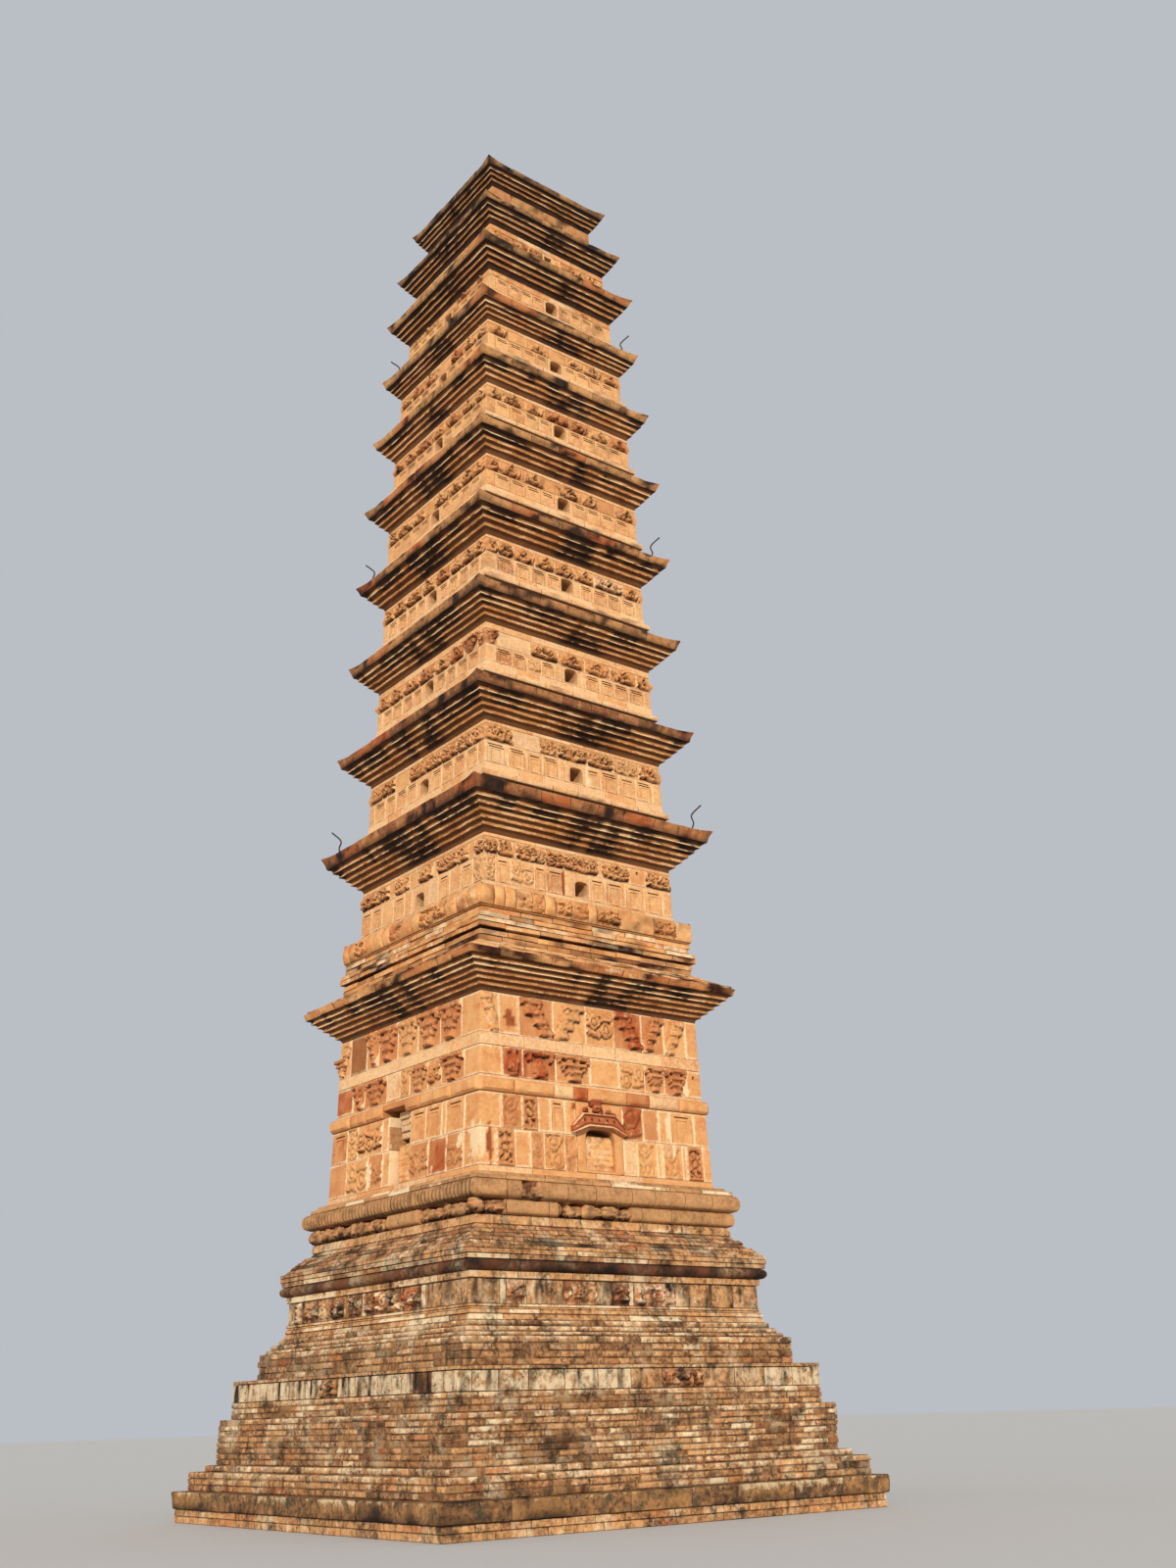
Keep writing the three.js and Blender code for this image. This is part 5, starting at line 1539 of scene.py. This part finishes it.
def buildPlinth():
    k = np.random.default_rng(77)
    batch, band = newBatch(), newBatch()
    # painted shadow: dark bottom rows, dark first and recessed courses, and the gap under the lip near black
    look = {"tone": 0.55, "toneRange": 0.35, "palePart": 0.75, "paleRange": (0.2, 0.8), "dirt": 1.6,
            "redPart": 0.12, "edgePale": 0.3, "under": 0.95, "sootPart": 0.18, "blotch": 0.55}
    dark = dict(look, soot=0.6, palePart=0.1)
    for place, value in (((1.440, 1.440, 5.485, 5.548, 0.30),
                          dark), ((1.438, 1.438, 5.548, 5.607, 0.34), look),
                         ((1.416, 1.416, 5.607, 5.628, 0.9), dict(dark, soot=0.97)),
                         ((1.468, 1.470, 5.628, 5.680, 0.38),
                          look), ((1.472, 1.468, 5.680, 5.731, 0.42), look),
                         ((1.424, 1.424, 5.731, 5.745, 0.9), dark),
                         ((1.430, 1.428, 5.745, 5.803, 0.36), look),
                         ((1.424, 1.424, 5.803, 5.860, 0.45), look)):
        addCourse(batch, k, *place, 0.07, 0.014, **value)
    makePiece("storey02PlinthCourses", batch, clay["wornTerracotta"], "storey_02_plinth")
    half, foot, height = petalBand["half"], petalBand["foot"], petalBand["height"]

    def bandHalf(z):  # half a sine swells the band
        return half - 0.018 + 0.022 * np.sin(np.pi * unit((z - foot) / height))

    addCore(band, half - 0.25, foot, foot + height)
    for side in range(4):
        addTileRow(band, side, 5.862, 5.880, face(half - 0.02), "plain 0.6,plain 0.5,plain 0.7", 0.06, k,
                   {"tone": 0.4, "soot": 0.3})
        addTileRow(band, side, 5.880, 6.105, bandHalf, rowWords(petals,
                                                                side), 0.015 if isSeen(side) else 0.026, k,
                   {"tone": 0.56, "deep": 0.75, "ground": 0.1, "blush": 0.14, "wear": 0.5, "joint": 0.75,
                    "stain": 0.4, "creviceShade": 0.2, "shade": 0.5})
    makePiece("storey02LotusBand", band, clay["wornTerracotta"], "storey_02_lotus_band")


# The roof over storey 1: a dark row of tiles and thin courses that step in, blotched with black
def buildFirstRoof():
    k = np.random.default_rng(88)
    batch = newBatch()
    # painted shadow along each course's bottom row
    addCourse(batch, k, 1.757, 1.788, 5.235, 5.310, 0.33, 0.05, 0.018, tone=0.35, toneRange=0.5, sootPart=0.4,
              soot=0.25, dirt=4.0, redPart=0.35, palePart=0.4, paleRange=(0.1, 0.5), under=0.95, blotch=0.85)
    heights, halves = np.linspace(5.310, 5.485, 6), np.linspace(1.735, 1.470, 5)
    for i, half in enumerate(halves):
        addCourse(batch, k, half, half, heights[i], heights[i + 1], 0.30, 0.06, 0.018, tone=0.65,
                  palePart=0.6 + 0.08 * i, paleRange=(0.2, 0.7), dirt=3.4 - 0.4 * i, sootPart=0.30 - 0.05 * i,
                  soot=0.30 - 0.07 * i, redPart=0.1, edgePale=0.5, under=0.8, blotch=0.95 - 0.1 * i)
    makePiece("storey01RoofCourses", batch, clay["wornTerracotta"], "storey_01_roof")


def chalky(*widths):  # the words for a run of chalky slabs
    return ",".join(f"plain {width} chalky" for width in widths)


# The pedestal, from the foot up: half widths, heights, number of courses, depth and look of the brickwork
bricksLow = ((2.515, 0.300, 0.480, 3, 0.20, {"palePart": 0.72}),
             (2.390, 0.480, 0.540, 1, 0.18, {"palePart": 0.72}))
bricksTier = ((2.305, 0.540, 0.975, 8, 0.16, {"seed": 9}),)
bricksUpper = ((2.206, 0.975, 1.140, 3, 0.16, {"seed": 21, "palePart": 0.66}),)
bricksTop = ((2.020, 1.355, 1.610, 4, 0.20, {"seed": 33, "palePart": 0.60}),
             (1.965, 1.610, 1.650, 1, 0.20, {"seed": 37}), (1.920, 1.650, 1.700, 1, 0.20, {"seed": 39}),
             (1.865, 1.700, 1.755, 1, 0.20, {"seed": 41}))
bandRow = (
    chalky(0.16, 0.28, 0.32, 0.40, 0.38, 0.39) +
    ",plain 0.38,vine 0.50 rusty deep,plain 0.42 faint,plain 0.40," + chalky(0.38, 0.39),
    chalky(0.17, 0.16, 0.18, 0.15, 0.17, 0.14, 0.16, 0.2, 0.18, 0.19, 0.2, 0.14) + ",vine 0.33 deep," +
    chalky(0.17, 0.18, 0.17, 0.19, 0.16, 0.18, 0.17, 0.2) + ",plain 0.16 dark,plain 0.17 dark," +
    chalky(0.2, 0.22),
)
bandTop = "plain 0.4,plain 0.6 pale,plain 0.5,plain 0.7,plain 0.5 pale,plain 0.6,plain 0.4"
friezeRow = (
    "plain 0.33,plain 0.07 white,vine 0.21 rusty deep,plain 0.02 white,plain 0.43,vine 0.20 rusty deep,"
    "vine 0.21 rusty,rough 0.18 pale,vine 0.22 red deep,plain 0.06 white,vine 0.28 rusty,vine 0.26 red,"
    "plain 0.42,plain 0.36,plain 0.35",
    "plain 0.13,vine 0.17 rusty,plain 0.05 pale,vine 0.30 rusty deep,plain 0.04 pale,vine 0.24,"
    "vine 0.24 rusty deep,plain 0.10 pale,vine 0.26 rusty,plain 0.07 white,vine 0.36 rusty deep,"
    "vine 0.28 deep,plain 0.04,vine 0.32 red deep,plain 0.08 white,plain 0.44,plain 0.30",
)


def buildPedestal():
    k = np.random.default_rng(55)

    def finishPiece(name, batch, node, material="pedestalBrick"):
        makePiece(name, batch, clay[material], node)

    def bricks(batch, table):
        for half, z0, z1, courses, depth, look in table:
            addBrickwork(batch, k, half, z0, z1, courses, depth, **look)
        return batch

    foot, slab = newBatch(), newBatch()
    for place in ((2.596, 2.598, 0.000, 0.063, 0.27), (2.600, 2.596, 0.066, 0.130, 0.30)):
        addCourse(foot, k, *place, 0.12, 0.010, tone=0.7, toneRange=0.4, palePart=0.7, paleRange=(0.1, 0.5),
                  redPart=0.2, dirt=1.6)
    finishPiece("footCourses", foot, "foot_course")
    # painted shadow under the slab and at its foot, and a painted highlight along its top edge
    addCourse(slab, k, 2.632, 2.640, 0.130, 0.297, 0.62, 0.045, 0.016, tone=0.62, toneRange=0.4,
              sootPart=0.15, dirt=3.0, palePart=0.35, paleRange=(0.05, 0.35), bevel=0.009, under=0.95,
              topPale=1.0, footSoot=0.55, blotch=0.6)
    finishPiece("groundSlab", slab, "ground_slab", "darkSlab")
    finishPiece("lowerStepBricks", bricks(newBatch(), bricksLow), "lower_step")
    finishPiece("lowerTierBricks", bricks(newBatch(), bricksTier), "lower_tier")

    upper = bricks(newBatch(), bricksUpper)
    addCore(upper, 1.99, 1.140, 1.353)
    for side in range(4):
        addTileRow(upper, side, 1.142, 1.318, face(2.200), rowWords(bandRow, side),
                   0.022 if isSeen(side) else 0.045, k,
                   {"tone": 0.42, "joint": 0.95, "drips": 1.2 if side > 1 else 0.9, "pale": 0.15})
        addTileRow(upper, side, 1.320, 1.355, face(2.204), bandTop, stripStep, k,
                   {"tone": 0.35, "joint": 0.7})
    finishPiece("upperTierBricks", upper, "upper_tier")

    top = bricks(newBatch(), bricksTop)
    addCourse(top, k, 1.828, 1.810, 1.755, 1.810, 0.36, 0.09, 0.008, tone=0.6, palePart=0.5, dirt=1.2,
              edgePale=0.3)
    finishPiece("brickTierBricks", top, "brick_tier")

    frieze = newBatch()
    tan = {"tone": 0.75, "toneRange": 0.2, "palePart": 0.3, "dirt": 0.9, "edgePale": 0.4}
    addCourse(frieze, k, 1.822, 1.812, 1.812, 1.852, 0.42, 0.09, 0.005, **dict(tan, palePart=0.5))
    addCourse(frieze, k, 1.800, 1.800, 1.852, 1.872, 0.60, 0.09, 0.004, **tan)
    addCourse(frieze, k, 1.808, 1.806, 1.872, 1.898, 0.60, 0.09, 0.004, **tan)
    addCore(frieze, 1.56, 1.898, 2.125)
    for side in range(4):
        addTileRow(frieze, side, 1.900, 2.122, face(1.790), rowWords(friezeRow,
                                                                     side), 0.018 if isSeen(side) else 0.040,
                   k, {"tone": 0.50, "joint": 0.85, "drips": 0.85, "pale": 0.36, "wear": 1.0, "stain": 0.7,
                       "creviceShade": 0.1, "shade": 0.4})
    addCourse(frieze, k, 1.812, 1.815, 2.124, 2.190, 0.62, 0.09, 0.006, redPart=0.15, **tan)
    finishPiece("waistFrieze", frieze, "waist_frieze")
    finishPiece("waistCornice", makeCornice(k), "waist_cornice")
    for name, (node, *shape) in lotusCourses.items():
        finishPiece(name, makeLotusCourse(k, *shape), node, "lotusClay")


# The cornice: a half round roll below, slabs, a rubble slope of stepped courses and a fillet
roll = {"half": 1.822, "height": 2.240, "radius": 0.050, "points": 9, "seed": 71}


def makeCornice(k):
    batch = newBatch()
    seed, radius = roll["seed"], roll["radius"]
    angles = np.linspace(-0.5 * np.pi, 0.5 * np.pi, roll["points"])
    profile = [(roll["half"] + radius * math.cos(t), roll["height"] + radius * math.sin(t)) for t in angles]

    def shift(side, s, z, row, tile):
        return 0.008 * (clouds(s / 0.09 + 5 * side, z / 0.05, seed) - 0.5)

    def finish(side, s, z, row, tile):
        wave = clouds(s / 0.35 + 5 * side, z / 0.3, seed + 2)
        return finishOf(0.2, 0.4 * (row > 6) * wave, 0.62 + 1.2 * (wave - 0.45), 0.7 * (wave > 0.42))

    addRing(batch, profile, 0.07, evenJoints(1.87, 0.5, k), shift, finish=finish)
    # painted highlights on the top edges and painted shadow on the bottom rows
    for place in ((1.860, 1.866, 2.292, 2.336, 0.55), (1.875, 1.875, 2.338, 2.382, 0.62),
                  (1.868, 1.862, 2.384, 2.422, 0.70)):
        addCourse(batch, k, *place, 0.08, 0.008, tone=0.50, palePart=0.22, paleRange=(0.2, 0.7), dirt=2.0,
                  edgePale=0.4, topPale=0.4, sootPart=0.2, bevel=0.005)
    halves, heights = np.linspace(1.848, 1.655, 5), np.linspace(2.418, 2.630, 6)
    for i, half in enumerate(halves):
        addCourse(batch, k, half, half - 0.022, heights[i], heights[i + 1], 0.24, 0.065, 0.020, tone=0.35,
                  palePart=0.6, paleRange=(0.05, 0.4), redPart=0.4, sootPart=0.2, dirt=2.6, edgePale=0.3,
                  topPale=0.3, under=0.85, footSoot=0.2, blotch=0.3, soot=max(0.22 - 0.08 * i, 0))
    addCourse(batch, k, 1.622, 1.612, 2.628, 2.725, 0.66, 0.08, 0.006, tone=0.75, toneRange=0.2,
              palePart=0.25, dirt=0.7, edgePale=0.3, bevel=0.012)
    return batch


# The lotus courses: each has its node, half width, foot, top, bulge, the lengths of its sides that are broken
# away, how deep they are, the strength of its ribs and the half width of its fillet.
lotusCourses = {
    "lowerLotusCourse": ("lower_lotus_course", 1.655, 2.725, 2.875, 0.045,
                         ((0, -0.67, 0.25), (0, -2.0, -1.31), (3, -2.0, 0.02), (3, 0.60, 2.0), (2, 0.9, 2.0),
                          (1, -0.4, 0.1)), 0.095, 0.0, None),
    "upperLotusCourse": ("upper_lotus_course", 1.705, 2.875, 3.050, 0.060,
                         ((0, -1.14, -0.92), (2, 1.1, 1.4), (1, 0.5, 0.7)), 0.060, 1.0, 1.655),
}
ribWidth = 0.0105


# Where a course has lost its face: 1 inside the lengths that are broken away, with ragged ends
def brokenAway(side, s, parts):
    gone = np.zeros(np.broadcast_shapes(np.shape(side), np.shape(s)))
    for which, s0, s1 in parts:
        ragged = 0.05 * (patches(s / 0.05, 3.0 * which, 17) - 0.5)
        inside = unit((s + ragged - s0) / 0.02) * unit((s1 - s - ragged) / 0.02)
        gone = np.maximum(gone, inside * (side == which))
    return gone


# The profile bulges by one minus the square root of one minus a power of the height from the middle.
def makeLotusCourse(k, half, z0, z1, bulge, broken, deep, ribs, fillet):
    batch = newBatch()
    profile = [(half - bulge * (1 - math.sqrt(max(0, 1 - abs(v) ** 2.6))),
                0.5 * (z0 + z1) + 0.5 * (z1 - z0) * v)
               for v in np.linspace(-1, 1, 13)]
    seed = 91 + int(ribs)

    def dentsAt(side, s, z):
        return clouds(s / 0.07 + 5 * side, z / 0.05, seed)

    def shift(side, s, z, row, tile):
        gone, dents = brokenAway(side, s, broken), dentsAt(side, s, z)
        inner = np.minimum(row, 12 - row) > 0
        fine = 0.010 * ribs * (side > 1) * np.sin(s / ribWidth)
        return inner * (gone * (-deep + 0.07 * (dents - 0.5)) + (1 - gone) * (0.006 * (dents - 0.5) + fine))

    def finish(side, s, z, row, tile):
        gone, dents = brokenAway(side, s, broken), dentsAt(side, s, z)
        wave = clouds(s / 0.3 + 5 * side, z / 0.1, seed + 3)
        brown = 0.22 * (side > 1) * ribs
        # painted shade in the broken-away hollows, and under the bulge and in the rib grooves too
        soot = (1 - gone) * (brown + 0.7 * (wave - 0.5)) + gone * np.clip(1.3 * (0.55 - dents) + 0.45, 0,
                                                                          0.92)
        soot = soot + 0.4 * ((row < 2) & (gone < 0.5)) + 0.45 * (brown > 0) * (np.sin(s / ribWidth) < -0.5)
        pale = (1 - gone) * 0.35 * (wave - 0.3) + gone * 0.6 * (dents > 0.68)
        return finishOf(0.64 + 0.8 * (wave - 0.5), pale, np.clip(soot, 0, 0.92), gone * 0.55)

    addRing(batch, profile, 0.017 if ribs else 0.028, evenJoints(half, 0.40, k), shift, finish=finish,
            grooveDepth=0.012)
    if fillet:
        for place in ((fillet, fillet - 0.002, z1, 3.090, 0.40),
                      (fillet - 0.05, fillet - 0.07, 3.090, 3.130, 0.40)):
            addCourse(batch, k, *place, 0.08, 0.008, tone=0.6, toneRange=0.3, palePart=0.3, dirt=1.3,
                      edgePale=0.3)
    for which, s0, s1 in broken:
        low, high = max(s0, -half + 0.02), min(s1, half - 0.02)
        n = int((high - low) / 0.108)
        s = np.linspace(low + 0.03, high - 0.03, n) + k.uniform(-0.02, 0.02, n)
        size = k.uniform(0.060, 0.086, n)
        addLumps(batch, which, s, z0 + 0.95 * size, half - 0.075 + k.uniform(-0.010, 0.030, n), size, k,
                 (0, 0.3))
    return batch


buildStoreyOne()
buildDoorFillings()
buildHood()
buildCorbels(1, storeyOne["bracketTop"], storeyOne["top"], 1.757, 5.235, 5)
buildFirstRoof()
buildPlinth()
buildPedestal()
print("storey 1, plinth and pedestal made")
